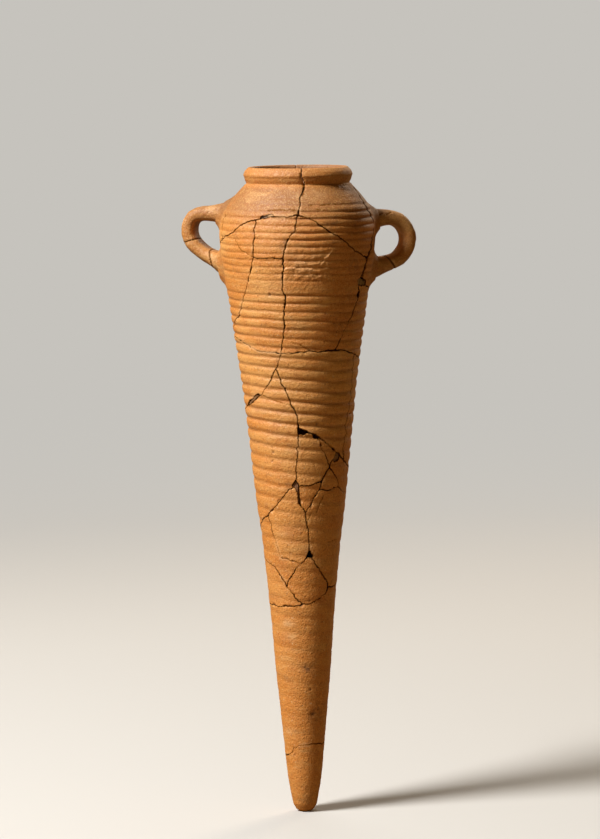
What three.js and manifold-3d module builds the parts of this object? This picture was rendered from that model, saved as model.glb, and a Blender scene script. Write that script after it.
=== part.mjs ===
// Transport amphora: a small ribbed jar of plain fired clay with a tapering body, a rolled lip, two strap
// handles on the shoulder and a pointed foot. The jar was once broken and is put together again from its
// sherds, so every sherd is a piece of its own and the breaks between them are open joints.
// Millimetres, +Z up, the foot stands at the origin and the front looks towards -Y. A place on the jar is
// given by its turn from the front (towards +X) and its height.
import * as THREE from "three";
import { mergeVertices } from "three/addons/utils/BufferGeometryUtils.js";
import Module from "manifold-3d";

const wasm = await Module();
wasm.setup();

// Jar
const jarHeight = 520;
const shoulderRadius = 62.5;
const shoulderDrop = 56;
const wall = 7;
const footRadius = 4.5;
const hollowBottom = 38;
const hollowRound = 8;

// Rolled lip and mouth
const lipRadius = 43.4;
const lipHeight = 13;
const lipGroove = 1.7;
const lipFlatRadius = 40.4;
const lipFlat = 3;
const mouthRadius = 36;
const mouthRound = 3.5;

// Ribs left by the thrower's fingers
const shoulderRibDrop = 28;
const shoulderRibPitch = 5.4;
const shoulderRibDepth = 0.9;
const bodyRibDrop = 99;
const bodyRibPitch = 6.5;
const bodyRibGrowth = 0.24;
const bodyRibDepth = 1.1;
const shoulderRibs = 12;
const bodyRibs = 20;
const fadingRibs = 3;

// Breaks and clearances
const breakGap = 0.35;
const tipBreakRise = 7.2;
const tipBreakClimb = 12;
const wideBreakGap = 0.7;
const seatGap = 0.3;
const overrun = 3;
const bladeStep = 20;
const bladeTurn = Math.PI / 6;
const fillSink = 0.6;
const leastBladeRadius = 1.5;
const leastMitreShare = 0.5;
const pinSize = 1.5;

// Handles: straps bent into a loop, both turned a little to the back
const handleTurn = 108;
const quarterTurn = 90;
const strapWidth = 22;
const strapThickness = 12;
const rootSpread = 12;
const rootSwell = 16;
const leftHandle = { reach: 28.3, drop: 74.5, rise: 37.2 };
const rightHandle = { reach: 30.3, drop: 80.5, rise: 38.1 };
const rootShare = 0.27;
const strapSquareShare = 0.75;

// Counts
const turnSideCount = 30;
const hollowRingEvery = 3;
const handleStepCount = 22;
const strapSideCount = 14;

// Outline of the outside, as [radius share, height share]. The first goes from the groove under the lip to
// the widest place, the second from there to the foot, and the third round the lip, from its flat down.
const shoulderShares = [
  [0, 1], [0.1, 0.96], [0.23, 0.89], [0.36, 0.81], [0.48, 0.74], [0.6, 0.67], [0.73, 0.59],
  [0.83, 0.51], [0.91, 0.42], [0.98, 0.23], [1, 0],
];
const bodyShares = [
  [1, 1], [0.98, 0.975], [0.95, 0.95], [0.915, 0.92], [0.88, 0.895], [0.845, 0.86], [0.795, 0.82],
  [0.755, 0.785], [0.715, 0.75], [0.68, 0.705], [0.645, 0.665], [0.61, 0.625], [0.575, 0.58],
  [0.535, 0.54], [0.49, 0.5], [0.45, 0.46], [0.415, 0.415], [0.385, 0.375], [0.355, 0.335],
  [0.325, 0.29], [0.3, 0.25], [0.27, 0.21], [0.24, 0.165], [0.21, 0.125], [0.18, 0.085],
  [0.15, 0.055], [0.115, 0.03], [0.09, 0.013], [0.045, 0.003], [0, 0],
];
const lipShares = [[0, 0], [0.43, 0.1], [0.83, 0.24], [1, 0.43], [0.83, 0.72]];
const mouthShares = [[0, 1], [0.3, 0.35], [1, 0]];
const hollowEndShares = [[1, 1], [0.6, 0.2], [0, 0]];

// Loop of each handle, as [reach share out of the shoulder, rise share above the handle's foot]
const leftLoopShares = [
  [-0.42, 0.97], [-0.1, 1], [0.35, 1], [0.62, 0.99], [0.84, 0.93], [0.96, 0.8], [1, 0.64],
  [0.96, 0.47], [0.81, 0.3], [0.62, 0.18], [0.4, 0.08], [0.08, -0.03], [-0.4, -0.16],
];
const rightLoopShares = [
  [-0.38, 0.95], [0, 0.98], [0.3, 1], [0.5, 0.99], [0.68, 0.95], [0.85, 0.84], [0.96, 0.7],
  [1, 0.57], [0.98, 0.42], [0.9, 0.29], [0.7, 0.12], [0.46, 0.05], [0.14, -0.01], [-0.35, -0.05],
];
// Breaks through the handles, as [share along the loop, turns of tilt]
const leftBreakShares = [[0.566, 0.045], [0.8, -0.105]];
const rightBreakShares = [[0.765, 0.055]];

// Places where breaks meet, as [across share, height share]: across is the place as seen from the front,
// -1 at the left outline and 1 at the right one, and height is a share of the jar's height.
const atShares = {
  collar: [0.01, 0.932],
  leftCollar: [-0.54, 0.924],
  rightCollar: [0.91, 0.862],
  rightChip: [0.83, 0.827],
  leftCross: [-0.58, 0.867],
  midCross: [-0.19, 0.867],
  midWaist: [-0.29, 0.722],
  rightWaist: [0.58, 0.724],
  underWaist: [-0.39, 0.697],
  centre: [-0.03, 0.604],
  centreRight: [0.3, 0.595],
  rightWedge: [0.74, 0.563],
  rightSide: [0.87, 0.551],
  rightStep: [0.86, 0.562],
  smallRight: [0.59, 0.544],
  crossRight: [0.41, 0.523],
  sideRight: [0.79, 0.513],
  underRight: [0.4, 0.511],
  crossMid: [-0.09, 0.516],
  wedgeFoot: [0.09, 0.473],
  lowLeft: [-0.77, 0.468],
  lowLeftFoot: [-0.58, 0.405],
  lowMid: [0.21, 0.407],
  lowMidLeft: [-0.01, 0.397],
  lowCross: [-0.44, 0.357],
  lowCentre: [-0.02, 0.331],
  lowRight: [0.76, 0.355],
  left1: [-1, 0.881],
  left2: [-1, 0.747],
  left3: [-1, 0.627],
  left4: [-1, 0.445],
  left5: [-1, 0.399],
  left6: [-1, 0.327],
  right1: [1, 0.976],
  right2: [1, 0.81],
  right3: [1, 0.704],
  right4: [1, 0.645],
  right5: [1, 0.534],
  right6: [1, 0.489],
  right7: [1, 0.358],
  backRim: [-0.13, 0.94],
  backCollarRight: [0.6, 0.846],
  backCollar: [-0.1, 0.858],
  backCollarLeft: [-0.3, 0.868],
  backWaist: [0.1, 0.728],
  backMiddle: [-0.35, 0.63],
  backCross: [-0.3, 0.525],
  backLow: [-0.34, 0.455],
  backLowFoot: [-0.25, 0.372],
  backLowRight: [0.2, 0.362],
};

// Breaks seen on the front, and those on the back, which carry on from the ones that reach the outlines.
const frontBreakShares = [
  [[0.04, 1.01], [0.07, 0.984], [0.08, 0.966], [0.04, 0.956], [0.03, 0.944], atShares.collar],
  [atShares.collar, [-0.17, 0.929], [-0.36, 0.929], atShares.leftCollar, [-0.68, 0.92], [-0.8, 0.906],
    atShares.left1],
  [atShares.collar, [0.12, 0.926], [0.22, 0.922], [0.3, 0.914], [0.41, 0.906], [0.53, 0.895],
    [0.65, 0.884], [0.74, 0.874], atShares.rightCollar],
  [atShares.right1, [0.97, 0.962], [0.96, 0.95], [0.95, 0.936], [0.97, 0.924], [0.99, 0.91],
    [0.97, 0.898], [0.94, 0.886], [0.95, 0.875], atShares.rightCollar],
  [atShares.rightCollar, [0.88, 0.842], atShares.rightChip, [0.85, 0.81], [0.84, 0.796], [0.8, 0.778],
    [0.72, 0.76], [0.66, 0.744], atShares.rightWaist],
  [atShares.rightChip, [0.92, 0.82], atShares.right2],
  [atShares.collar, [-0.03, 0.91], [-0.12, 0.896], [-0.16, 0.881], atShares.midCross, [-0.21, 0.822],
    [-0.19, 0.799], [-0.22, 0.784], [-0.22, 0.753], [-0.27, 0.73], atShares.midWaist],
  [atShares.midWaist, [-0.35, 0.707], atShares.underWaist, [-0.52, 0.675], [-0.67, 0.657],
    [-0.83, 0.644], atShares.left3],
  [atShares.leftCollar, [-0.54, 0.898], [-0.57, 0.881], atShares.leftCross, [-0.63, 0.844],
    [-0.71, 0.819], [-0.79, 0.8], [-0.87, 0.777], atShares.left2],
  [atShares.leftCross, [-0.44, 0.866], atShares.midCross],
  [atShares.left2, [-0.9, 0.737], [-0.76, 0.728], [-0.58, 0.723], atShares.midWaist, [-0.12, 0.722],
    [0, 0.722], [0.13, 0.725], [0.36, 0.723], atShares.rightWaist, [0.7, 0.724], [0.82, 0.718],
    atShares.right3],
  [atShares.underWaist, [-0.31, 0.676], [-0.23, 0.661], [-0.15, 0.644], [-0.05, 0.626], atShares.centre,
    [-0.05, 0.584], [-0.07, 0.561], [-0.09, 0.538], atShares.crossMid],
  [atShares.rightStep, [0.87, 0.571], [0.91, 0.584], [0.9, 0.603], [0.95, 0.625], atShares.right4],
  [atShares.smallRight, [0.69, 0.535], [0.78, 0.52], atShares.sideRight, [0.88, 0.504], atShares.right6],
  [atShares.sideRight, [0.68, 0.509], [0.55, 0.508], atShares.underRight],
  [atShares.crossRight, [0.26, 0.52], [0.14, 0.516], atShares.crossMid],
  [atShares.crossRight, atShares.underRight, [0.28, 0.496], [0.18, 0.483], atShares.wedgeFoot],
  [atShares.crossMid, [-0.07, 0.504], [-0.03, 0.49], atShares.wedgeFoot, [0.17, 0.444], [0.2, 0.421],
    atShares.lowMid],
  [atShares.centreRight, [0.42, 0.574], [0.52, 0.56], atShares.smallRight],
  [atShares.crossMid, [-0.27, 0.51], [-0.45, 0.493], atShares.lowLeft, atShares.left4],
  [atShares.lowLeft, [-0.73, 0.458], [-0.69, 0.438], atShares.lowLeftFoot],
  [atShares.lowLeftFoot, [-0.35, 0.401], atShares.lowMidLeft],
  [atShares.lowMid, atShares.lowMidLeft, [-0.21, 0.382], [-0.39, 0.368], atShares.lowCross],
  [atShares.lowMid, [0.36, 0.394], [0.56, 0.375], atShares.lowRight, [0.88, 0.355], atShares.right7],
  [atShares.left5, [-0.76, 0.39], [-0.62, 0.376], atShares.lowCross, [-0.32, 0.349], [-0.19, 0.34],
    atShares.lowCentre],
  [atShares.left6, [-0.78, 0.326], [-0.35, 0.328], atShares.lowCentre, [0.34, 0.334], [0.57, 0.342],
    atShares.lowRight],
];
const wideFrontBreakShares = [
  [atShares.centre, [0.15, 0.599], atShares.centreRight, [0.49, 0.581], atShares.rightWedge,
    atShares.rightSide, atShares.right5],
  [atShares.rightWedge, [0.62, 0.551], atShares.smallRight, [0.51, 0.532], atShares.crossRight],
  [atShares.rightSide, atShares.rightStep],
];
const backBreakShares = [
  [atShares.right1, [0.97, 0.99], [0.95, 1.01]],
  [[0.66, 1.01], [0.62, 0.96], [0.7, 0.91], [0.64, 0.87], atShares.backCollarRight],
  [[-0.06, 1.01], [-0.04, 0.97], atShares.backRim, [-0.14, 0.9], atShares.backCollar],
  [[-0.41, 1.01], [-0.36, 0.97], [-0.24, 0.955], atShares.backRim],
  [atShares.left1, [-0.8, 0.872], [-0.55, 0.88], atShares.backCollarLeft, atShares.backCollar,
    [0.3, 0.85], atShares.backCollarRight, [0.85, 0.83], atShares.right2],
  [atShares.backCollarLeft, [-0.26, 0.82], [-0.1, 0.78], [-0.04, 0.75], atShares.backWaist],
  [atShares.left2, [-0.8, 0.74], [-0.5, 0.752], [-0.2, 0.735], atShares.backWaist, [0.45, 0.72],
    [0.75, 0.712], atShares.right3],
  [atShares.backWaist, [-0.04, 0.69], [-0.2, 0.66], atShares.backMiddle],
  [atShares.left3, [-0.75, 0.62], [-0.5, 0.634], atShares.backMiddle, [0.3, 0.625], [0.7, 0.638],
    atShares.right4],
  [atShares.backMiddle, [-0.3, 0.58], [-0.34, 0.55], atShares.backCross],
  [atShares.backCross, [0.2, 0.535], [0.6, 0.53], [0.8, 0.545], atShares.right5],
  [atShares.backCross, [-0.27, 0.49], atShares.backLow],
  [atShares.left4, [-0.7, 0.45], [-0.5, 0.442], atShares.backLow, [0.3, 0.465], [0.75, 0.48],
    atShares.right6],
  [atShares.backLow, [-0.3, 0.42], atShares.backLowFoot],
  [atShares.left5, [-0.7, 0.39], [-0.5, 0.39], atShares.backLowFoot, atShares.backLowRight, [0.6, 0.35],
    atShares.right7],
  [atShares.left6, [-0.6, 0.32], [-0.1, 0.335], atShares.backLowRight],
];
// The break round the spike, just above the end of the hollow, as [across share, share of its climb]
const frontTipBreakShares = [[-1, 0], [-0.7, 0.3], [-0.59, 0.65], [-0.29, 0.91], [0.34, 1], [1, 0.87]];
const backTipBreakShares = [[-1, 0], [-0.5, 0.35], [0, 0.57], [0.5, 0.65], [1, 0.87]];

// Small gaps where clay is lost at a meeting of breaks: some stay open, some are filled with mortar.
const openGapShares = [
  [[-0.06, 0.608], [0, 0.607], [0.17, 0.6], [0.11, 0.596], [-0.05, 0.597]],
  [[0.24, 0.597], [0.34, 0.593], [0.31, 0.588], [0.25, 0.591]],
  [[0.18, 0.416], [0.24, 0.416], [0.32, 0.402], [0.18, 0.405], [0.06, 0.401]],
  [[0.845, 0.815], [0.868, 0.813], [0.862, 0.804], [0.843, 0.8], [0.832, 0.806]],
];
const filledGapShares = {
  mortar_collar: [
    [-0.52, 0.926], [-0.46, 0.931], [-0.4, 0.9315], [-0.35, 0.9335], [-0.29, 0.9305], [-0.36, 0.928],
    [-0.45, 0.926],
  ],
  mortar_shoulder: [
    [0.815, 0.83], [0.85, 0.8335], [0.9, 0.829], [0.935, 0.827], [0.935, 0.819], [0.87, 0.8205],
    [0.82, 0.823],
  ],
  mortar_waist: [
    [0.7, 0.566], [0.74, 0.5655], [0.785, 0.562], [0.775, 0.554], [0.69, 0.55], [0.65, 0.556],
  ],
  mortar_left: [
    [-0.94, 0.638], [-0.9, 0.645], [-0.8, 0.654], [-0.71, 0.659], [-0.7, 0.6565], [-0.8, 0.6475],
    [-0.9, 0.6385],
  ],
  mortar_middle: [
    [-0.1, 0.527], [-0.2, 0.517], [-0.12, 0.512], [-0.09, 0.504], [-0.06, 0.49], [-0.035, 0.484],
    [-0.01, 0.485], [-0.03, 0.495], [-0.04, 0.508], [-0.045, 0.517],
  ],
};

// Sherds: [colour, side, a place on the sherd]
const sherdPlaceShares = {
  rim_sherd_left: ["#c88f5e", "front", -0.5, 0.96],
  rim_sherd_front: ["#cc8a55", "front", 0.5, 0.94],
  rim_sherd_right: ["#b9784a", "back", 0.9, 0.9],
  rim_sherd_back: ["#c08353", "back", 0.3, 0.93],
  rim_sherd_back_small: ["#c98e5d", "back", -0.24, 0.98],
  shoulder_sherd_left: ["#c9905f", "front", -0.9, 0.84],
  shoulder_sherd_front_left: ["#d09a68", "front", -0.35, 0.9],
  shoulder_sherd_inner_left: ["#cf9560", "front", -0.4, 0.79],
  shoulder_sherd_front: ["#c98850", "front", 0.3, 0.82],
  shoulder_sherd_right: ["#b5734a", "front", 0.95, 0.76],
  waist_sherd_left: ["#c98f60", "front", -0.75, 0.69],
  waist_sherd_front: ["#cb8d57", "front", 0.3, 0.66],
  waist_sherd_right: ["#b27148", "back", 0.9, 0.59],
  middle_sherd_left: ["#cc9260", "front", -0.5, 0.57],
  middle_sherd_front: ["#c68653", "front", 0.1, 0.555],
  middle_sherd_front_small: ["#bf7d4c", "front", 0.55, 0.567],
  middle_sherd_right: ["#b5744a", "front", 0.9, 0.52],
  middle_sherd_right_small: ["#ba784b", "front", 0.6, 0.522],
  middle_sherd_wedge: ["#ca8c58", "front", 0.15, 0.5],
  lower_sherd_right: ["#b87a4f", "front", 0.7, 0.45],
  lower_sherd_front: ["#ca8d5b", "front", -0.2, 0.46],
  lower_sherd_left: ["#c68c5e", "front", -0.8, 0.42],
  lower_sherd_left_small: ["#c48759", "front", -0.7, 0.35],
  lower_sherd_front_small: ["#c48352", "front", 0.2, 0.37],
  spike_sherd: ["#c58a5c", "front", 0, 0.2],
  spike_tip: ["#bd8358", "front", 0, 0.05],
};
const handlePieceShares = {
  left: { left_handle_arm: 0.3, left_handle_bend: 0.68, left_handle_stub: 0.875 },
  right: { right_handle_arm: 0.4, right_handle_stub: 0.86 },
};
const handleColours = {
  left_handle_arm: "#cf9967",
  left_handle_bend: "#c98f60",
  left_handle_stub: "#c0845a",
  right_handle_arm: "#bd7f50",
  right_handle_stub: "#b5774c",
};
const mortarColours = {
  mortar_collar: "#b5a063",
  mortar_shoulder: "#8f7b45",
  mortar_waist: "#8a7843",
  mortar_left: "#8d6a45",
  mortar_middle: "#b39a5c",
};
const clayRoughness = 0.92;
const mortarRoughness = 0.97;

const neckRadius = lipRadius - lipGroove;
const neckHeight = jarHeight - lipHeight;
const shoulderHeight = jarHeight - shoulderDrop;

// Outline points from the groove under the lip down to the foot, highest first
const bodyOutline = [
  ...shoulderShares.map(([out, up]) => [
    neckRadius + out * (shoulderRadius - neckRadius),
    shoulderHeight + up * (neckHeight - shoulderHeight),
  ]),
  ...bodyShares.slice(1).map(([out, up]) => [
    footRadius + out * (shoulderRadius - footRadius),
    up * shoulderHeight,
  ]),
];

// Radius of the plain outside, without ribs, at a height
function bodyRadius(height) {
  if (height >= neckHeight) return neckRadius;
  if (height <= 0) return footRadius;
  const next = Math.max(bodyOutline.findIndex(([, z]) => z <= height), 1);
  const [lowRadius, low] = bodyOutline[next];
  const [highRadius, high] = bodyOutline[next - 1];
  return lowRadius + ((highRadius - lowRadius) * (height - low)) / (high - low);
}

function innerRadius(height) {
  if (height >= neckHeight) return mouthRadius;
  return Math.max(bodyRadius(height) - wall, 0);
}

// Troughs of a set of ribs from the top down, the step growing from rib to rib
function ribHeights(top, pitch, growth, count) {
  const heights = [];
  let height = top;
  for (let i = 0; i < count; i += 1) {
    heights.push(height);
    height -= pitch + growth * i;
  }
  return heights;
}

// Rings of the outside: a crest half way between two troughs, troughs sunk by the rib's depth
function ribRings(heights, depthOf) {
  const rings = [];
  heights.forEach((height, i) => {
    rings.push([bodyRadius(height) - depthOf(i), height]);
    if (i + 1 < heights.length) {
      const crest = (height + heights[i + 1]) / 2;
      rings.push([bodyRadius(crest), crest]);
    }
  });
  return rings;
}

const shoulderTroughs = ribHeights(jarHeight - shoulderRibDrop, shoulderRibPitch, 0, shoulderRibs);
const bodyTroughs = ribHeights(jarHeight - bodyRibDrop, bodyRibPitch, bodyRibGrowth, bodyRibs);
const bodyRibFade = (i) => bodyRibDepth * Math.min(1, (bodyRibs - i) / (fadingRibs + 1));
const ribbed = [
  ...ribRings(shoulderTroughs, () => shoulderRibDepth),
  ...ribRings(bodyTroughs, bodyRibFade),
];
const ribZone = (heights, pitch) => [heights[0] + pitch / 2, heights[heights.length - 1] - pitch / 2];
const ribZones = [ribZone(shoulderTroughs, shoulderRibPitch), ribZone(bodyTroughs, bodyRibPitch)];
const plain = bodyOutline.filter(([, z]) => ribZones.every(([high, low]) => z > high || z < low));
const outerRings = [...ribbed, ...plain].sort((a, b) => b[1] - a[1]);

const lipOutline = lipShares.map(([out, down]) => [
  lipFlatRadius + out * (lipRadius - lipFlatRadius),
  jarHeight - down * lipHeight,
]);
const mouthEdge = lipFlatRadius - lipFlat;
const mouthOutline = mouthShares.map(([out, down]) => [
  mouthRadius + out * (mouthEdge - mouthRadius),
  jarHeight - down * mouthRound,
]);
const hollowOutline = bodyOutline
  .filter(([, z], i) => z < neckHeight && z > hollowBottom + hollowRound && i % hollowRingEvery === 0)
  .map(([, z]) => [innerRadius(z), z]);
const hollowEndRadius = innerRadius(hollowBottom + hollowRound);
const hollowEnd = hollowEndShares.map(([out, up]) => [
  out * hollowEndRadius,
  hollowBottom + up * hollowRound,
]);

// A closed mesh, its shared corners merged and its faces turned outwards, as a solid
function solidOf(geometry) {
  geometry.deleteAttribute("normal");
  geometry.deleteAttribute("uv");
  const merged = mergeVertices(geometry);
  const corners = merged.index.array;
  const faces = [];
  for (let i = 0; i < corners.length; i += 3) {
    const [a, b, c] = [corners[i], corners[i + 1], corners[i + 2]];
    if (a !== b && b !== c && c !== a) faces.push(a, b, c);
  }
  const make = (triVerts) => new wasm.Manifold(new wasm.Mesh({
    numProp: 3,
    vertProperties: Float32Array.from(merged.attributes.position.array),
    triVerts,
  }));
  const solid = make(Uint32Array.from(faces));
  return solid.volume() > 0 ? solid : make(Uint32Array.from(faces).reverse());
}

// A solid turned about the jar's axis from [radius, height] points
function turned(outline) {
  const points = outline.map(([radius, height]) => new THREE.Vector2(radius, height));
  return solidOf(new THREE.LatheGeometry(points, turnSideCount).rotateX(Math.PI / 2));
}

function meshOf(name, solid, colour, roughness) {
  const { vertProperties, triVerts } = solid.getMesh();
  const geometry = new THREE.BufferGeometry();
  geometry.setAttribute("position", new THREE.BufferAttribute(vertProperties, 3));
  geometry.setIndex(new THREE.BufferAttribute(triVerts, 1));
  geometry.computeVertexNormals();
  const material = new THREE.MeshStandardMaterial({ color: colour, roughness, metalness: 0 });
  const mesh = new THREE.Mesh(geometry, material);
  mesh.name = name;
  return mesh;
}

// A place on the jar, [turn, height], from its shares
function placeOf([across, up], side) {
  const lean = Math.asin(across);
  return [side === "front" ? lean : Math.PI - lean, up * jarHeight];
}

function pointAt(turn, height, radius) {
  return [radius * Math.sin(turn), -radius * Math.cos(turn), height];
}

// A solid through rings of corners, closed at both ends. Faces that lie across from each other are split
// along the same diagonal, so that a thin twisted blade keeps its thickness.
function stripSolid(rings, caps) {
  const corners = rings[0].length;
  const farSide = corners / 2;
  const index = [];
  for (let i = 0; i + 1 < rings.length; i += 1) {
    for (let k = 0; k < corners; k += 1) {
      const a = i * corners + k;
      const b = i * corners + ((k + 1) % corners);
      if (k < farSide) index.push(a, b, b + corners, a, b + corners, a + corners);
      else index.push(a, b, a + corners, b, b + corners, a + corners);
    }
  }
  const last = (rings.length - 1) * corners;
  caps.forEach(([a, b, c]) => index.push(c, b, a, last + a, last + b, last + c));
  const geometry = new THREE.BufferGeometry();
  geometry.setAttribute("position", new THREE.Float32BufferAttribute(rings.flat(2), 3));
  geometry.setIndex(index);
  return solidOf(geometry);
}

// Offset of a path of [turn, height] places along the surface: to its right for a positive distance
function offsetPlaces(places, distance, closed) {
  const count = places.length;
  return places.map(([turn, height], i) => {
    const radius = bodyRadius(height);
    const before = places[closed ? (i + count - 1) % count : Math.max(i - 1, 0)];
    const after = places[closed ? (i + 1) % count : Math.min(i + 1, count - 1)];
    const way = (from, to) => {
      const step = new THREE.Vector2((to[0] - from[0]) * radius, to[1] - from[1]);
      return step.normalize();
    };
    const incoming = way(before, places[i]);
    const outgoing = way(places[i], after);
    const normal = new THREE.Vector2(incoming.y + outgoing.y, -incoming.x - outgoing.x).normalize();
    const first = incoming.lengthSq() > 0 ? incoming : outgoing;
    const mitre = Math.max(Math.abs(normal.x * first.y - normal.y * first.x), leastMitreShare);
    const shift = normal.multiplyScalar(distance / mitre);
    return [turn + shift.x / radius, height + shift.y];
  });
}

// A path with extra places, so that no step turns too far round the jar or drops too far
function finePath(places) {
  const fine = [places[0]];
  for (let i = 0; i + 1 < places.length; i += 1) {
    const [turn, height] = places[i];
    const [nextTurn, nextHeight] = places[i + 1];
    const length = Math.hypot((nextTurn - turn) * bodyRadius(height), nextHeight - height);
    const steps = Math.ceil(Math.max(length / bladeStep, Math.abs(nextTurn - turn) / bladeTurn));
    for (let k = 1; k <= steps; k += 1) {
      const share = k / steps;
      fine.push([turn + (nextTurn - turn) * share, height + (nextHeight - height) * share]);
    }
  }
  return fine;
}

// Radii that a cut has to span at a height to pass through the clay
function cutRadii(height) {
  const outer = height > neckHeight - overrun ? Math.max(lipRadius, bodyRadius(height)) : bodyRadius(height);
  return [Math.max(innerRadius(height) - overrun, leastBladeRadius), outer + overrun];
}

// A place moved away from its neighbour by a distance along the surface
function movedOut([turn, height], [nextTurn, nextHeight], distance) {
  const radius = bodyRadius(height);
  const away = new THREE.Vector2((turn - nextTurn) * radius, height - nextHeight).setLength(distance);
  return [turn + away.x / radius, height + away.y];
}

// A thin blade along a break, through the wall, its ends run on into the breaks that it meets
function blade(shares, side, gap) {
  const path = finePath(shares.map((share) => placeOf(share, side)));
  const end = path.length - 1;
  path[0] = movedOut(path[0], path[1], gap / 2);
  path[end] = movedOut(path[end], path[end - 1], gap / 2);
  const left = offsetPlaces(path, -gap / 2, false);
  const right = offsetPlaces(path, gap / 2, false);
  const rings = path.map(([, height], i) => {
    const [low, high] = cutRadii(height);
    return [
      pointAt(...left[i], low),
      pointAt(...right[i], low),
      pointAt(...right[i], high),
      pointAt(...left[i], high),
    ];
  });
  return stripSolid(rings, [[0, 1, 2], [0, 2, 3]]);
}

// A plug through the wall with the outline of a gap, drawn in and sunk below the surface if asked
function plug(shares, inset, sink) {
  const flat = ([turn, height]) => new THREE.Vector2(turn * shoulderRadius, height);
  const places = shares.map((share) => placeOf(share, "front"));
  if (THREE.ShapeUtils.isClockWise(places.map(flat))) places.reverse();
  const loop = offsetPlaces(places, -inset, true);
  const faces = THREE.ShapeUtils.triangulateShape(loop.map(flat), []);
  const low = loop.map(([turn, height]) => pointAt(turn, height, cutRadii(height)[0]));
  const outer = sink > 0 ? (height) => bodyRadius(height) - sink : (height) => cutRadii(height)[1];
  const high = loop.map(([turn, height]) => pointAt(turn, height, outer(height)));
  return stripSolid([low, high], faces);
}

// Gives each piece of a solid its name by a small pin that stands in the piece
function namedPieces(solid, pins) {
  const pieces = solid.decompose();
  return Object.entries(pins).map(([name, pin]) => {
    const volumes = pieces.map((piece) => piece.intersect(pin).volume());
    return [name, pieces[volumes.indexOf(Math.max(...volumes))]];
  });
}

function pinAt([x, y, z]) {
  return solidOf(new THREE.BoxGeometry(pinSize, pinSize, pinSize).translate(x, y, z));
}

// The whole jar wall
const jarWall = turned([
  ...mouthOutline,
  ...lipOutline,
  ...outerRings,
  [0, 0],
  ...[...hollowEnd].reverse(),
  ...[...hollowOutline].reverse(),
  mouthOutline[0],
]);

// Cuts along the breaks, and the gaps where clay is lost
const tipBreak = (shares) => shares.map(([across, climb]) => (
  [across, (hollowBottom + tipBreakRise + climb * tipBreakClimb) / jarHeight]));
const cuts = [
  blade(tipBreak(frontTipBreakShares), "front", breakGap),
  blade(tipBreak(backTipBreakShares), "back", breakGap),
  ...frontBreakShares.map((shares) => blade(shares, "front", breakGap)),
  ...wideFrontBreakShares.map((shares) => blade(shares, "front", wideBreakGap)),
  ...backBreakShares.map((shares) => blade(shares, "back", breakGap)),
  ...openGapShares.map((shares) => plug(shares, 0, 0)),
  ...Object.values(filledGapShares).map((shares) => plug(shares, 0, 0)),
].reduce((all, cut) => all.add(cut));
const brokenWall = jarWall.subtract(cuts);

const amphora = new THREE.Group();

const sherdPins = {};
Object.entries(sherdPlaceShares).forEach(([name, [, side, across, up]]) => {
  const [turn, height] = placeOf([across, up], side);
  sherdPins[name] = pinAt(pointAt(turn, height, (bodyRadius(height) + innerRadius(height)) / 2));
});
namedPieces(brokenWall, sherdPins).forEach(([name, sherd]) => {
  amphora.add(meshOf(name, sherd, sherdPlaceShares[name][0], clayRoughness));
});

// Mortar that the restorer pressed into some gaps: it stands a little below the surface
Object.entries(filledGapShares).forEach(([name, shares]) => {
  const mortar = jarWall.intersect(plug(shares, seatGap, fillSink));
  amphora.add(meshOf(name, mortar, mortarColours[name], mortarRoughness));
});

// Room that the jar takes, with the clearance that a handle keeps to it
const jarRoom = turned([
  [0, jarHeight],
  [lipRadius + seatGap, jarHeight],
  ...bodyOutline.map(([radius, z]) => [radius + seatGap, z]),
  [0, 0],
]);

// Loop of a handle in the plane through the jar's axis, as points of [distance from the axis, height]
function loopCurve({ reach, drop, rise }, shares) {
  return new THREE.CatmullRomCurve3(shares.map(([out, up]) => (
    new THREE.Vector3(shoulderRadius + out * reach, 0, jarHeight - drop + up * rise))));
}

// Strap along the loop, flat across it, thicker and wider towards its roots on the shoulder
function strap(curve) {
  const rings = [];
  for (let i = 0; i <= handleStepCount; i += 1) {
    const share = i / handleStepCount;
    const centre = curve.getPointAt(share);
    const way = curve.getTangentAt(share);
    const fromRoot = Math.min(share, 1 - share) / rootShare;
    const flare = Math.max(0, 1 - fromRoot) ** 2;
    const halfWidth = (strapWidth + rootSpread * flare) / 2;
    const halfThickness = (strapThickness + rootSwell * flare) / 2;
    const ring = [];
    for (let k = 0; k < strapSideCount; k += 1) {
      const angle = (k / strapSideCount) * 2 * Math.PI;
      const soft = (value) => Math.sign(value) * Math.abs(value) ** strapSquareShare;
      const side = halfWidth * soft(Math.cos(angle));
      const off = halfThickness * soft(Math.sin(angle));
      ring.push([centre.x + off * way.z, side, centre.z - off * way.x]);
    }
    rings.push(ring);
  }
  const caps = [];
  for (let k = 1; k + 1 < strapSideCount; k += 1) caps.push([0, k, k + 1]);
  return stripSolid(rings, caps);
}

// Thin slab across the strap at a share of its length, tilted by a share of a turn
function strapCut(curve, [share, tilt]) {
  const centre = curve.getPointAt(share);
  const way = curve.getTangentAt(share);
  const lean = Math.atan2(way.z, way.x) + tilt * 2 * Math.PI;
  const slabLength = strapThickness + rootSwell + 2 * overrun;
  const slab = new THREE.BoxGeometry(breakGap, strapWidth + 2 * rootSpread, slabLength);
  return solidOf(slab.rotateY(-lean).translate(centre.x, centre.y, centre.z));
}

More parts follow.
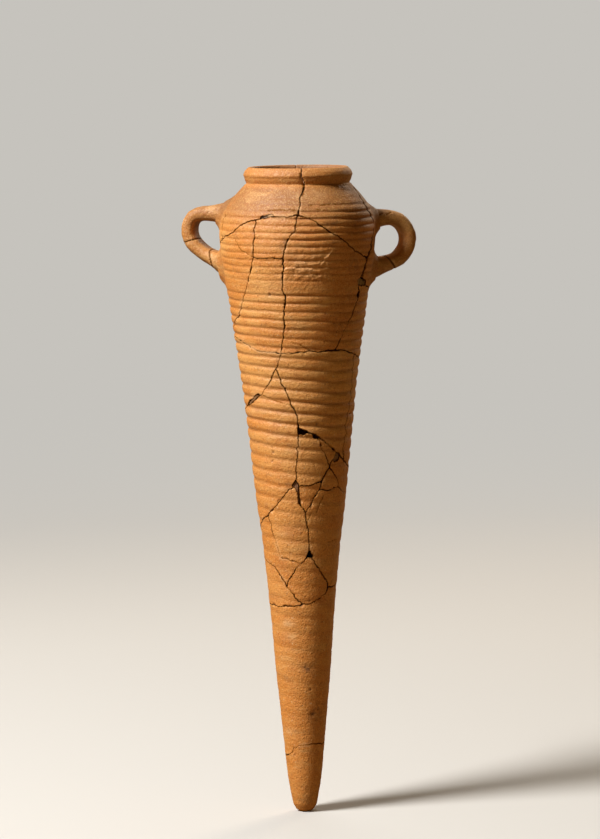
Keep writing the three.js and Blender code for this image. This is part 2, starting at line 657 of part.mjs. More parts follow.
function addHandle(size, loopShares, breakShares, pieceShares, turn) {
  const curve = loopCurve(size, loopShares);
  const cut = breakShares.map((share) => strapCut(curve, share)).reduce((all, slab) => all.add(slab));
  const placed = strap(curve).subtract(cut).rotate(0, 0, turn).subtract(jarRoom);
  const pins = {};
  Object.entries(pieceShares).forEach(([name, share]) => {
    const centre = curve.getPointAt(share);
    pins[name] = pinAt([centre.x, centre.y, centre.z]).rotate(0, 0, turn);
  });
  namedPieces(placed, pins).forEach(([name, piece]) => {
    amphora.add(meshOf(name, piece, handleColours[name], clayRoughness));
  });
}

// +X is a quarter turn from the front, so a handle stands past it by the rest of its turn
addHandle(rightHandle, rightLoopShares, rightBreakShares, handlePieceShares.right,
  handleTurn - quarterTurn);
addHandle(leftHandle, leftLoopShares, leftBreakShares, handlePieceShares.left,
  2 * quarterTurn - (handleTurn - quarterTurn));

export default amphora;
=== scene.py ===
"""Transport amphora: each sherd of the jar gets its thrown, ribbed surface, worn break edges and fired
clay, the handles get their pinched roots, and the jar stands on a plain pale floor in soft light."""
import math
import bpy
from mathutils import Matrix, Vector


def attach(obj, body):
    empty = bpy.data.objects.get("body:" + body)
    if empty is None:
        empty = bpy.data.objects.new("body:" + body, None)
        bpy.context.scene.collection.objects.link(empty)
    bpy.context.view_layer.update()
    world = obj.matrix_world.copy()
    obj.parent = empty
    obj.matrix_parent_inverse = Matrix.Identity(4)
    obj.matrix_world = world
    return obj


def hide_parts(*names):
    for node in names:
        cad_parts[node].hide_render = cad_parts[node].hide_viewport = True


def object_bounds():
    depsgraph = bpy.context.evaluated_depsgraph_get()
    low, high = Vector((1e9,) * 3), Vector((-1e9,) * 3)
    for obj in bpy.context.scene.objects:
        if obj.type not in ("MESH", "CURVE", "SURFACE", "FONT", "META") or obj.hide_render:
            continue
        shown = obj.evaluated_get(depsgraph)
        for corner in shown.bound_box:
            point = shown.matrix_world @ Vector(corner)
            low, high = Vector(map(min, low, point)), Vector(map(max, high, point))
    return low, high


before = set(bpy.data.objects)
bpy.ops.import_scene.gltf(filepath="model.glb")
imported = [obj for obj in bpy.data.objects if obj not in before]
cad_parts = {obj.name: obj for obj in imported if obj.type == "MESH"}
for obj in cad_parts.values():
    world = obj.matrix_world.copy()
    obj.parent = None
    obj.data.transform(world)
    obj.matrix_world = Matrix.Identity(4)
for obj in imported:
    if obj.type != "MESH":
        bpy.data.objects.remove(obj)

from types import SimpleNamespace

import bmesh
import bpy
import numpy as np
from mathutils import Matrix, Vector
from mathutils.kdtree import KDTree

cad_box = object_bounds()

MM = 0.001

# Sizes of the jar in mm, as in the solids
JAR_HEIGHT = 520
SHOULDER_RADIUS = 62.5
SHOULDER_HEIGHT = 464
WALL = 7
FOOT_RADIUS = 4.5
NECK_RADIUS = 41.7
NECK_HEIGHT = 507
MOUTH_RADIUS = 36
MOUTH_EDGE = 516.5
TURN_SIDES = 30
SHOULDER_RIB_TOP = 492
SHOULDER_RIB_PITCH = 5.4
SHOULDER_RIB_DEPTH = 0.9
SHOULDER_RIBS = 12
BODY_RIB_TOP = 421
BODY_RIB_PITCH = 6.5
BODY_RIB_GROWTH = 0.24
BODY_RIB_DEPTH = 1.1
BODY_RIBS = 20
FADING_RIBS = 3
HOLLOW_RING_EVERY = 3
HOLLOW_BOTTOM = 38
HOLLOW_ROUND = 8
# the hollow's round bottom passes here: share of HOLLOW_ROUND, and of the radius at its top
HOLLOW_CORNER = (0.2, 0.6)

# Outline of the shoulder from the neck down and of the body from the shoulder down, as shares outwards and
# upwards
SHOULDER_SHARES = [
    (0, 1), (0.1, 0.96), (0.23, 0.89), (0.36, 0.81), (0.48, 0.74), (0.6, 0.67), (0.73, 0.59),
    (0.83, 0.51), (0.91, 0.42), (0.98, 0.23), (1, 0),
]
BODY_SHARES = [
    (0.98, 0.975), (0.95, 0.95), (0.915, 0.92), (0.88, 0.895), (0.845, 0.86), (0.795, 0.82),
    (0.755, 0.785), (0.715, 0.75), (0.68, 0.705), (0.645, 0.665), (0.61, 0.625), (0.575, 0.58),
    (0.535, 0.54), (0.49, 0.5), (0.45, 0.46), (0.415, 0.415), (0.385, 0.375), (0.355, 0.335),
    (0.325, 0.29), (0.3, 0.25), (0.27, 0.21), (0.24, 0.165), (0.21, 0.125), (0.18, 0.085),
    (0.15, 0.055), (0.115, 0.03), (0.09, 0.013), (0.045, 0.003), (0, 0),
]

# The finer surface. Lengths are in mm. A pair of values is where a change begins and where it ends,
# and one named shares is in shares of the wall, from 0 at its inner face to 1 at its outer face.
VOXEL = 0.7
OUTLINE_STEP = 0.5
OUTSIDE_ROUNDING = 4
INSIDE_ROUNDING = 6
WIDEST = 62.3
THINNEST_WALL = 1
# shares of the wall: this near to a face a corner counts as on it, the skin and the lip's outside are above
# these, the inside is below that, and broken clay shows above that
FACE_SHARE = 0.12
SKIN_SHARE = 0.6
LIP_SHARE = 0.5
INSIDE_SHARE = 0.3
RAW_SHARE = 0.1
LIP_BOTTOM = 505.5
# heights where the breaks begin to wander, and where they stop again at the lip
WANDER_BEGIN = (4, 20)
WANDER_END = (500, 512)
NARROWEST = 8
# below the first height the hollow is smooth, above the second it has faint rings
SMOOTH_HOLLOW = 60
RINGED_HOLLOW = 90
INNER_RING_DEPTH = 0.35
INNER_RINGS_PER_RIB = 0.8
# heights where the foot's form goes over from the solid's to the fine one
FOOT_KEPT = (6, 12)
FOOT_EASED = 10
RIM_LEAN = 1
RIM_LEAN_FROM = (470, 515)
# rounds and weights of smoothing, and how far from a break it begins
EASE_ROUNDS = 3
EASE = 0.6
EASE_FROM_BREAK = (0.4, 1.6)
HANDLE_ROUNDS = 10
HANDLE_EASE = 0.5
MORTAR_ROUNDS = 3
MORTAR_EASE = 0.4

# Ribs: depth, heights where each stretch of ribs begins and ends, and the shares of the depth that it has
RIB_DEPTH = 0.9
RIB_SKEW = 0.07
RIB_SHARPNESS = 1.35
BODY_RIBS_END = (420, 426)
SHOULDER_RIBS_BEGIN = (428, 436)
SHOULDER_RIBS_END = (478, 496)
SHOULDER_RIBS_SHARE = 0.85
COLLAR_RIBS_BEGIN = (476, 484)
COLLAR_RIBS_TOP = 492
COLLAR_RIBS_FADE = 6
COLLAR_RIBS = 0.35
# on the left the collar's faint ribs are this much deeper and reach this much further up
COLLAR_LEFT_GAIN = 0.15
COLLAR_LEFT_RISE = 8
COLLAR_LEFT = (2, -12)
# the shoulder's ribs are worn in the middle and on the left, crisp on the right: their share, and where it
# grows on the way to the right, and by how much
CRISP = 0.66
CRISP_GAINS = ((-10, 6, 0.42), (20, 42, 0.3))
# share of the body's ribs, by height
RIB_FADE = ((0, 0.1), (60, 0.17), (150, 0.3), (200, 0.32), (235, 0.42), (262, 0.66), (285, 0.95), (300, 1))
# how much the ribs rise for each millimetre to the left, by height
RIB_TILT = ((0, 0.04), (280, 0.05), (340, 0.03), (400, 0.015), (440, 0), (520, -0.01))
# the smear and the right side take away these shares of the ribs
SMEARED_AWAY = 0.2
SIDE_AWAY = 0.1
SIDE_FROM = (5, 30)
# the handles' roots: where the wall is wiped above and below them, to their sides in radians, and round them
WIPED_HEIGHTS = (14, 24)
WIPED_SIDES = (0.3, 0.65)
ROOT_WIPED = (3, 21)

# Breaks: width and drop of a whole edge, and what a chip adds to them
EDGE_WIDTH = 0.28
CHIP_WIDTH = 0.96
EDGE_DROP = 0.07
CHIP_DROP = 0.77
BREAK_REACH = 4.0
# between these depths a corner lies on a break; on the lip it does where it slants this much
BREAK_SHARES = (0.25, 0.75)
LIP_BREAK_SLANT = 0.75
CRUMBS_LOST = 0.65
CHIPS_LOOSEN = 1.4
# how far the two sides are pressed together or apart, and how near to the break
SHUT = 0.13
SHUT_OUTSIDE = 0.16
SHUT_SHARES = (0.75, 1)
SHUT_LIP = 0.3
GAPE = 0.5
PUSH_REACH = (1.5, 0.6)
# widths of what shows along a break, and how far from it fresh clay shows
EDGE_SHADE = 0.3
GLUE_WIDTH = 1.1
FRESH_WIDTH = 0.6
FRESH_AWAY = 1

# The lip: how much wider the fine one is than the solids', by height, and the radii where it begins
LIP_CHANGES = (
    (505.6, 0), (507, -1.1), (508.3, -0.6), (510.2, -0.3), (511.8, -0.5), (513.8, 0.35),
    (515.4, -0.3), (516.6, -0.4), (518.2, -0.9), (520, -1),
)
LIP_OUTSIDE = (MOUTH_RADIUS + 1.5, MOUTH_RADIUS + 4.5)

# Handles: their turn from the front in degrees, the middle of their loops, and the clay drawn out at their
# roots
HANDLE_TURN = 108
LOOP_RADIUS = 76
LOOP_HEIGHT = 463
ROOT_HEIGHT = 462
ROOT_REACH = 22.0
ROOT_FILLET = 11
ROOT_RISE = 5
ROOT_SHARPNESS = 2.2
ROOT_NEAR = 1.4
# the wall is painted darker this near to a handle's root, fully within the second distance
ROOT_DARKENED = (15, 5)
RAISED = 0.05
# only this near to a handle, in radians, and above this height is a root looked for
HANDLE_SIDE = 0.8
HANDLE_BOTTOM = 400
# this near to the wall a handle keeps its form, and its root sinks into the clay there
ROOT_STIFF = 1.2
ROOT_SINK = 1
SINK_OFF_WALL = (0.6, 2.2)
# their breaks: gap, and how many voxels wider it is found
BREAK_GAP = 0.35
BROKEN_VOXELS = 0.6
BREAK_RISE = 0.12
FREE_FROM_BREAK = (0.5, 2)
HANDLE_EDGE_WIDTH = 0.9
HANDLE_EDGE_DROP = 0.3
WHOLE_EDGE = 0.3
HANDLE_FRESH_AWAY = 1.8
HANDLE_FRESH_WIDTH = 1.3
HANDLE_LINE_DEPTH = 0.7
# how squarely a face looks that way: the part of its normal that points there
FACING = (0.3, 0.8)
FACING_FRONT = 0.4
FACING_DOWN = 0.7
MORTAR_PIT_DEPTH = 0.6
# a pit in the mortar this deep, in mm, is painted fully in shade
PIT_DEPTH_OF_FULL_SHADE = 1.6

# Unevenness by name: how much, in mm for places and surfaces and as a share for the ribs' depth and
# the smear; size of its largest lumps in mm; seed; octaves
UNEVEN = {
    "sway": (0.6, 9, 11, 2), "fine sway": (0.65, 2.9, 15, 3),
    "lift": (0.55, 8, 21, 2), "fine lift": (0.65, 2.9, 25, 3), "jitter": (0.4, 3, 55, 2),
    "rib level": (0.8, 38, 31, 1), "fine rib level": (0.4, 13, 35, 1),
    "rib depth": (0.35, 32, 41, 1), "rib bands": (0.22, 7, 43, 1),
    "smear edge": (0.55, 11, 45, 2), "torn clay": (1, 5.2, 81, 2),
    "wall": (0.3, 60, 61, 1), "dents": (0.14, 14, 71, 2), "grit": (0.07, 2.4, 75, 2),
    "lip": (0.1, 5, 77, 2), "handle bulge": (0.35, 16, 101, 2), "handle dents": (0.14, 5, 111, 2),
}
# Spots by name: size of the largest in mm, seed, octaves, and the values of the unevenness between
# which a spot goes from 0 to 1
SPOTS = {
    "chips": (4.5, 51, 2, 0.35, 0.95), "crumbs": (3.6, 53, 2, 0.45, 0.9),
    "tight breaks": (13, 95, 2, 0, 0.8), "scratches": (3, 57, 2, -0.1, 0.5),
    "mottles": (6, 91, 3, -0.3, 0.5), "speckles": (2.6, 93, 2, -0.1, 0.45),
    "fresh clay": (8, 97, 2, 0.1, 0.7), "handle chips": (4.5, 51, 2, 0.3, 0.9),
    "handle dirt": (10, 121, 2, 0.2, 0.8), "handle pale": (7, 131, 2, 0.2, 0.9),
    "handle stains": (6, 141, 2, 0.5, 1.1), "mortar pits": (3, 151, 2, -0.2, 0.8),
    "mortar pale": (4, 161, 2, -0.2, 0.6),
}
NOISE_SIDE = 32
# bands along the ribs are drawn out sideways, and torn clay is flatter than wide
RIB_BANDS = (0.25, 0.25, 1)
TORN_FLATNESS = (1, 1, 1.6)
# how much one sherd stands out from the next
OWN_RISE = 0.14
# how much of a patch is left between its mottles or speckles
MOTTLE_LOW = 0.35
SPECKLE_LOW = 0.25
# How strongly each thing is painted, from 0 to 1
PAINT = {
    "break": 0.3, "loose break": 0.6, "chips": 0.3, "broken face": 0.8, "shade": 0.9, "lines": 0.6,
    "grooves": 0.8, "inside": 0.7, "fresh clay": 0.5, "glue": 0.8, "curls": 0.25, "pits": 0.8, "roots": 0.3,
    "handle edge": 0.7, "handle break": 0.4, "handle broken face": 0.6, "handle pale": 0.4,
    "handle fresh clay": 0.8, "handle stains": 0.35, "handle dirt": 0.3, "below": 0.4, "painted light in the right loop": 0.9,
    "painted shade in the left loop": 0.75, "mortar pale": 0.8, "mortar dirt": 0.5, "deepest pit": 0.9,
}

# Marks on the front. Places are in mm: across from the middle, positive to the right, and height.

# pits: place, size, depth
PITS = (
    (-22.5, 421.9, 1.1, 0.9), (-21.8, 295.5, 1, 0.8), (-22.6, 288.3, 0.9, 0.7), (5.6, 102.4, 1, 0.7),
    (7.2, 82, 1.8, 1.1), (11.8, 86, 1.2, 0.8), (9.8, 76.5, 1.2, 0.6), (13.5, 318.5, 1.2, 0.9),
    (-35, 470, 0.8, 0.5), (22, 474, 0.8, 0.5), (-28, 380, 0.8, 0.5), (30, 402, 0.8, 0.5),
    (-9, 214, 0.8, 0.5), (6, 175, 0.9, 0.6), (-8, 48, 0.8, 0.5), (41, 440, 0.8, 0.5),
)
# hairline cracks and scratches, each a path of places
HAIRLINES = (
    ((-29, 341), (-18, 336.5), (-7.5, 334)),
    ((-6.5, 384.5), (1, 382), (9, 377)),
    ((-49.5, 464.5), (-46, 458), (-40, 453.5), (-35.5, 451.5)),
    ((-24, 487.5), (-12, 488.5), (-1.5, 488)),
    ((18, 260), (15, 254), (12, 247)),
    ((8.5, 247), (5, 241)),
    ((21, 222), (27.5, 222.5)),
    ((-57.5, 483.5), (-59.3, 480), (-60, 473.5), (-60.2, 463)),
    ((43.6, 371), (41, 337), (37.8, 321.6), (36.3, 314.4), (36.7, 308), (34.7, 300), (33.5, 291)),
)
HAIRLINE_WIDTH = 0.42
MOST_SLANT = 0.1
SCRATCHES = (
    ((3, 491.5), (14, 491), (24, 491.5), (36, 492)),
    ((12, 488.2), (22, 487.6), (30, 488)),
    ((-30, 441), (-18, 440), (-12, 440.5)),
)
SCRATCH_WIDTH = 0.45
LINE_DEPTH = 0.25
# chipped spots of the breaks: place, size, strength
WORN = (
    (0.8, 484.7, 3, 0.8), (19.7, 471, 3, 0.6), (57.5, 449.5, 5, 1), (-10.8, 449, 3, 0.7),
    (-37, 463, 2, 0.5), (26, 376.5, 4, 0.6), (-1, 376, 2, 0.4), (-1.5, 314, 3, 0.5),
    (25, 282, 2.5, 0.6), (16, 272, 2.5, 0.6), (-27, 244, 2.5, 0.5), (20, 185, 2.5, 0.8),
    (-13, 187, 2, 0.5), (-10, 420, 4, 0.4), (-11, 398, 3, 0.4), (1, 512, 6, 0.6),
    (-42.5, 384.5, 1.8, 0.9), (-20, 379, 1.2, 0.6), (48.5, 424.5, 2.2, 0.9), (-24, 482.5, 4, 0.6),
    (17, 474, 2.6, 0.9), (24, 470.5, 2.2, 0.8), (-8.5, 458, 2.5, 0.7), (-9.5, 436, 4, 0.7),
    (61, 457, 3, 0.5), (57.5, 448, 3.5, 0.8), (54.5, 441, 3.5, 0.8), (52, 433, 3, 0.6),
    (55, 491, 3, 0.4), (60.5, 482, 3, 0.5), (-35, 305, 4, 0.7), (-40.5, 300, 4, 0.8),
    (-11, 360, 4, 0.5), (8, 289, 3, 0.4), (29, 279, 4, 0.6), (-5, 331, 3, 0.4),
)
# small jogs of the breaks: place, size, and shift to the right
JOGS = (
    (3, 507.5, 5, 1.8), (1, 498, 3, -0.7), (-9, 470, 3, 0.8), (-10, 425, 3, -0.8),
    (-9, 398, 3, 0.8), (-30, 425, 4, 0.8), (-33, 445, 3, -0.7), (28, 466, 3, 0.8),
)
# breaks that the glue closed tightly: place, width, height, strength
SEALED = (
    (-23, 375.4, 13, 3, 1), (-38, 381, 10, 8, 0.8), (52, 392, 4, 12, 0.8),
    (30, 496, 8, 8, 0.5), (12, 330, 8, 8, 0.5), (-11, 484.5, 8, 3.5, 0.8),
)
# and breaks that stay loose and crumble
LOOSE = (
    (-10, 440, 9, 50, 1), (-12, 360, 9, 60, 1), (0, 495, 6, 22, 1),
    (58, 450, 9, 45, 1), (22, 470, 26, 12, 0.8), (-42, 430, 12, 50, 0.6),
    (20, 376, 34, 6, 0.9), (0, 330, 40, 30, 0.5),
)
# stretches of wall that a wet hand wiped smooth
WIPED = (
    (40, 446, 12, 18, 0.65), (30, 478, 14, 5, 0.35), (-30, 418, 12, 4, 0.4),
    (46, 400, 10, 12, 0.2), (-6, 441, 10, 3, 0.3),
)
# stretches of break, most near the side, that gape and are full of shade: half width, path
SHADOWED = (
    (0.65, ((45, 503.5), (47.7, 500.2), (50.6, 493))),
    (1.1, ((50.6, 493), (57.2, 484.7), (60.4, 480.4), (60.8, 477.1))),
    (1.8, ((60.8, 462), (58, 452), (56.5, 448.7))),
    (1.1, ((56.5, 448.7), (54, 441), (51.4, 434))),
    (0.8, ((1, 516), (1.5, 510), (4.5, 504), (3, 499))),
)
SHADE_REACH = 1.7
# hairlines of the handles: half width, strength, path
HANDLE_LINES = (
    (0.35, 0.4, ((-75, 480), (-72.5, 482.5), (-70.5, 485))),
    (0.55, 1, ((62, 480.5), (64, 479.8), (68, 481.2))),
    (0.5, 0.9, ((71.5, 480.3), (75.5, 482.3))),
)
# the smear of wet clay on the shoulder: its place, width and height, and the curls that it was pulled into
SMEAR = (8, 446.5, 20, 15)
SMEAR_EDGE = (0.55, 1.25)
# the smear is crumbly below, and has this share of its crumbs above
SMEAR_CRUMBLED = (450, 443)
SMEAR_TOP = 0.4
TORN = (0.35, 0.95)
TORN_RISE = 0.5
TORN_SINK = 0.2
SMEAR_CURLS = (
    ((27, 455.3), (25.5, 454.2), (24, 451.8), (21.2, 449.5), (20.5, 447), (18.5, 445)),
    ((-9, 442.5), (-3, 443), (0, 444.6)), ((8, 441.5), (13, 440.6)),
    ((10.5, 437.2), (14, 436.4), (18, 435.7)), ((20, 441.5), (24, 443)),
)
CURL_WIDTH = 0.75
CURL_HEIGHT = 0.6
# pale and dark patches: place, width, height, strength
PALE_PATCHES = (
    # the first two, on the spike, are pale clay with painted highlight on its faint ridges
    (-12.4, 156.4, 5, 2.6, 0.75), (-10.8, 145.2, 4, 2.6, 0.7), (33, 374, 5, 3, 0.5),
    (-36, 326, 6, 4, 0.45), (-44, 386, 4.5, 4, 0.35), (-20, 372, 9, 4, 0.3),
    (-14, 230, 6, 3, 0.3), (-12, 68, 4, 5, 0.35), (10, 500, 14, 5, 0.35),
    (8, 447, 18, 12, 0.5), (-24, 462, 12, 10, 0.25), (37, 372, 6, 4, 0.5),
    (-30, 340, 8, 8, 0.3), (-20, 428, 12, 8, 0.25),
)
DARK_PATCHES = (
    (2.6, 120, 4.2, 3.4, 0.9), (8, 81, 5, 6, 0.6), (-14, 112, 6, 4, 0.25),
    (-8, 303, 3, 3, 0.35), (-10, 270, 3, 2.5, 0.35), (2, 10, 9, 6, 0.3),
    (-49, 470, 2.5, 4, 0.3), (-11, 462, 3.5, 5.5, 0.5), (-5.5, 453, 4.5, 5, 0.4),
    (28, 462, 7, 5, 0.3), (44, 446, 8, 12, 0.25), (28, 477, 6, 3.5, 0.4),
    (46, 474, 7, 5, 0.3), (40, 420, 10, 8, 0.2), (34, 396, 9, 6, 0.2),
)
# holes in the mortar: place, size, depth; and how dirty each bit of it is
MORTAR_PITS = ((-28, 484, 5, 2), (-22, 481.5, 2, 0.8), (52, 430.5, 0.9, 1.5))
MORTAR_DIRT = {"mortar_left": 0.6, "mortar_waist": 0.7, "mortar_middle": 0.8, "mortar_shoulder": 0.35}

SHERDS = sorted(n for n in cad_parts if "_sherd" in n or n == "spike_tip")
HANDLES = sorted(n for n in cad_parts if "_handle_" in n)
MORTARS = sorted(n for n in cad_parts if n.startswith("mortar_"))
SHERD_SEED = 200
HANDLE_SEED = 300
MORTAR_SEED = 400


def ramp(low, high, value):
    """0 at low, 1 at high, and smooth between."""
    t = np.clip((value - low) / (high - low), 0, 1)
    return t * t * (3.0 - 2.0 * t)


def bell(distance, width):
    return np.exp(-(distance / width) ** 2)


def by_height(z, table):
    return np.interp(z, *np.transpose(table))


# Outline and rings of the solids
def outline():
    """Plain outside of the solids as heights and radii, lowest first."""
    top = [(SHOULDER_HEIGHT + up * (NECK_HEIGHT - SHOULDER_HEIGHT),
            NECK_RADIUS + out * (SHOULDER_RADIUS - NECK_RADIUS)) for out, up in SHOULDER_SHARES]
    low = [(up * SHOULDER_HEIGHT, FOOT_RADIUS + out * (SHOULDER_RADIUS - FOOT_RADIUS))
           for out, up in BODY_SHARES]
    return np.array(top + low)[::-1]


OUTLINE = outline()


def plain_radius(z):
    return by_height(z, OUTLINE)


def rib_heights(top, pitch, growth, count):
    heights = [top]
    for i in range(count - 1):
        heights.append(heights[-1] - pitch - growth * i)
    return np.array(heights)


def cad_rings():
    """Heights and radii of the solids' outer rings, ribs and all, lowest first."""
    shoulder = rib_heights(SHOULDER_RIB_TOP, SHOULDER_RIB_PITCH, 0, SHOULDER_RIBS)
    body = rib_heights(BODY_RIB_TOP, BODY_RIB_PITCH, BODY_RIB_GROWTH, BODY_RIBS)
    rings = []
    zones = []
    kinds = ((shoulder, SHOULDER_RIB_PITCH, SHOULDER_RIB_DEPTH, 0),
             (body, BODY_RIB_PITCH, BODY_RIB_DEPTH, FADING_RIBS))
    for heights, pitch, depth, fading in kinds:
        zones.append((heights[0] + pitch / 2, heights[-1] - pitch / 2))
        for i, z in enumerate(heights):
            fade = min(1, (len(heights) - i) / (fading + 1))
            rings.append((z, plain_radius(z) - depth * fade))
            if i + 1 < len(heights):
                crest = (z + heights[i + 1]) / 2
                rings.append((crest, plain_radius(crest)))
    plain = [tuple(p) for p in OUTLINE if all(p[0] > high or p[0] < low for high, low in zones)]
    return np.array(sorted(rings + plain))


def cad_hollow():
    """Heights and radii of the solids' inner rings, lowest first."""
    bottom = HOLLOW_BOTTOM + HOLLOW_ROUND
    rings = [(z, r - WALL) for i, (z, r) in enumerate(OUTLINE[::-1])
             if bottom < z < NECK_HEIGHT and i % HOLLOW_RING_EVERY == 0]
    end = float(plain_radius(bottom)) - WALL
    up, out = HOLLOW_CORNER
    rings += [(JAR_HEIGHT, MOUTH_RADIUS), (MOUTH_EDGE, MOUTH_RADIUS), (bottom, end),
              (HOLLOW_BOTTOM + up * HOLLOW_ROUND, out * end), (HOLLOW_BOTTOM, 0)]
    return np.array(sorted(rings))


RINGS = cad_rings()
HOLLOW = cad_hollow()
FINE_Z = np.arange(0, NECK_HEIGHT + OUTLINE_STEP, OUTLINE_STEP)


def rounded(values, spread):
    """Radii at FINE_Z, rounded off along the height."""
    reach = int(4 * spread / OUTLINE_STEP)
    kernel = bell(np.arange(-reach, reach + 1) * OUTLINE_STEP, math.sqrt(2) * spread)
    kernel /= kernel.sum()
    # beyond its ends the outline runs on straight
    low = values[0] + (values[0] - values[1]) * np.arange(reach, 0, -1)
    high = values[-1] + (values[-1] - values[-2]) * np.arange(1, reach + 1)
    return np.convolve(np.concatenate([low, values, high]), kernel, mode="valid")


FINE_OUTSIDE = rounded(plain_radius(FINE_Z), OUTSIDE_ROUNDING)
FINE_INSIDE = rounded(np.maximum(plain_radius(FINE_Z) - WALL, 0), INSIDE_ROUNDING)


def shoulder_phase(z):
    return (SHOULDER_RIB_TOP - z) / SHOULDER_RIB_PITCH


def body_phase(z):
    """Count of ribs below the topmost one of the body, for a pitch that grows from rib to rib."""
    drop = BODY_RIB_TOP - z
    half = BODY_RIB_GROWTH / 2
    first = BODY_RIB_PITCH - half
    inside = np.maximum(first * first + 4 * half * drop, 0)
    return np.where(drop > 0, (np.sqrt(inside) - first) / (2 * half), drop / BODY_RIB_PITCH)


def rib_wave(phase):
    """Rounded ridges with narrower grooves, 0 on a ridge and 1 in a groove."""
    skewed = phase + RIB_SKEW * np.sin(2 * np.pi * phase)
    return (0.5 + 0.5 * np.cos(2 * np.pi * skewed)) ** RIB_SHARPNESS


# Unevenness
_tables = {}


def lattice(points, size, seed):
    """Smooth noise between -1 and 1 at points in mm, with lumps of about that size."""
    if seed not in _tables:
        _tables[seed] = np.random.RandomState(seed).uniform(-1, 1, (NOISE_SIDE,) * 3)
    table = _tables[seed]
    scaled = points / size
    base = np.floor(scaled).astype(int)
    share = ramp(0, 1, scaled - base)
    total = np.zeros(len(points))
    sides = (1 - share, share)
    for dx, dy, dz in np.ndindex(2, 2, 2):
        weight = sides[dx][:, 0] * sides[dy][:, 1] * sides[dz][:, 2]
        total += weight * table[tuple(((base + (dx, dy, dz)) % NOISE_SIDE).T)]
    return total


def lumps(points, size, seed, octaves):
    return sum(lattice(points, size / 2 ** i, seed + i) / 2 ** i for i in range(octaves))


def uneven(points, name):
    amount, size, seed, octaves = UNEVEN[name]
    return amount * lumps(points, size, seed, octaves)


def spots(points, name):
    size, seed, octaves, low, high = SPOTS[name]
    return ramp(low, high, lumps(points, size, seed, octaves))


def cylinder(co):
    return np.hypot(co[:, 0], co[:, 1]), np.arctan2(co[:, 0], -co[:, 1])


def cartesian(r, turn, z):
    return np.stack([r * np.sin(turn), -r * np.cos(turn), z], axis=1)


def outward(turn):
    return cartesian(np.ones(len(turn)), turn, np.zeros(len(turn)))


# Meshes
def new_object(name, data):
    made = bpy.data.objects.new(name, data)
    bpy.context.scene.collection.objects.link(made)
    return made


def shade_smooth(mesh):
    mesh.polygons.foreach_set("use_smooth", np.ones(len(mesh.polygons), dtype=bool))


def remeshed(node, name):
    """An even fine mesh over a CAD node's solid, as a new mesh and its corners in mm."""
    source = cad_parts[node]
    mesh = source.data.copy()
    mesh.transform(source.matrix_world)
    temp = new_object("temp", mesh)
    grid = temp.modifiers.new("grid", "REMESH")
    grid.mode = "VOXEL"
    grid.voxel_size = VOXEL * MM
    grid.adaptivity = 0
    fine = bpy.data.meshes.new_from_object(temp.evaluated_get(bpy.context.evaluated_depsgraph_get()))
    bpy.data.objects.remove(temp)
    bpy.data.meshes.remove(mesh)
    fine.name = name
    fine.materials.clear()
    co = np.empty(len(fine.vertices) * 3)
    fine.vertices.foreach_get("co", co)
    return fine, co.reshape(-1, 3) / MM


def relax(mesh, co, rounds, weight):
    """Moves corners towards the middle of their neighbours, by weight, that many times."""
    edges = np.empty(len(mesh.edges) * 2, dtype=int)
    mesh.edges.foreach_get("vertices", edges)
    a, b = edges[::2], edges[1::2]
    count = np.bincount(np.concatenate([a, b]), minlength=len(co)).reshape(-1, 1)
    for _ in range(rounds):
        total = np.zeros_like(co)
        for axis in range(3):
            total[:, axis] = np.bincount(a, co[b, axis], len(co)) + np.bincount(b, co[a, axis], len(co))
        co = co + (total / np.maximum(count, 1) - co) * weight.reshape(-1, 1)
    return co


def normals_of(mesh):
    normals = np.empty(len(mesh.vertices) * 3)
    mesh.vertices.foreach_get("normal", normals)
    return normals.reshape(-1, 3)


def tree_of(points):
    tree = KDTree(len(points))
    for i, point in enumerate(points):
        tree.insert(point, i)
    tree.balance()
    return tree


def nearest(tree, points, reach, chosen=None):
    """Distance from each point, or each chosen one, to the tree, no more than reach."""
    far = np.full(len(points), reach)
    for i in range(len(points)) if chosen is None else np.nonzero(chosen)[0]:
        far[i] = min(reach, tree.find(points[i])[2])
    return far


def beside(across, height, path):
    """Distance of points to a line of straight pieces, all on the flat front view."""
    near = np.full(len(across), np.inf)
    for (ax, az), (bx, bz) in zip(path[:-1], path[1:]):
        dx, dz = bx - ax, bz - az
        t = np.clip(((across - ax) * dx + (height - az) * dz) / (dx * dx + dz * dz), 0, 1)
        near = np.minimum(near, np.hypot(across - ax - t * dx, height - az - t * dz))
    return near


def patches(across, height, table):
    """Soft patches on the flat front view. A row is a place, a width, a height and a strength, or a place, a
    size and a strength."""
    total = np.zeros(len(across))
    for x, z, *sizes, strength in table:
        total = np.maximum(total, strength * bell(across - x, sizes[0]) * bell(height - z, sizes[-1]))
    return total


def paint(mesh, **layers):
    """Puts every painted layer on the corners: one value for all or one each, and 0 where none is given."""
    for name in PAINTED:
        values = np.broadcast_to(layers.get(name, 0.0), len(mesh.vertices))
        mesh.attributes.new(name, "FLOAT", "POINT").data.foreach_set("value", values.astype(np.float32))


def own_share(seed):
    return np.random.RandomState(seed).uniform(-1, 1)


def move_corners(mesh, co):
    mesh.vertices.foreach_set("co", (co * MM).ravel())
    mesh.update()


def finish_piece(mesh, co, node, material):
    move_corners(mesh, co)
    shade_smooth(mesh)
    piece = new_object(node + "_surface", mesh)
    mesh.materials.append(material)
    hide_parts(node)
    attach(piece, "root")


# Colours, as they look on the fired clay in flat light
def linear(colour):
    """sRGB hex as linear RGBA."""
    parts = [int(colour[i:i + 2], 16) / 255 for i in (1, 3, 5)]
    return [p / 12.92 if p <= 0.04045 else ((p + 0.055) / 1.055) ** 2.4 for p in parts] + [1.0]


SMOOTH = {"interpolation_type": "SMOOTHSTEP"}
PRODUCT = {"operation": "MULTIPLY"}
OF_COLOURS = {"data_type": "RGBA"}


def empty_tree(owner):
    owner.use_nodes = True
    owner.node_tree.nodes.clear()
    return owner.node_tree


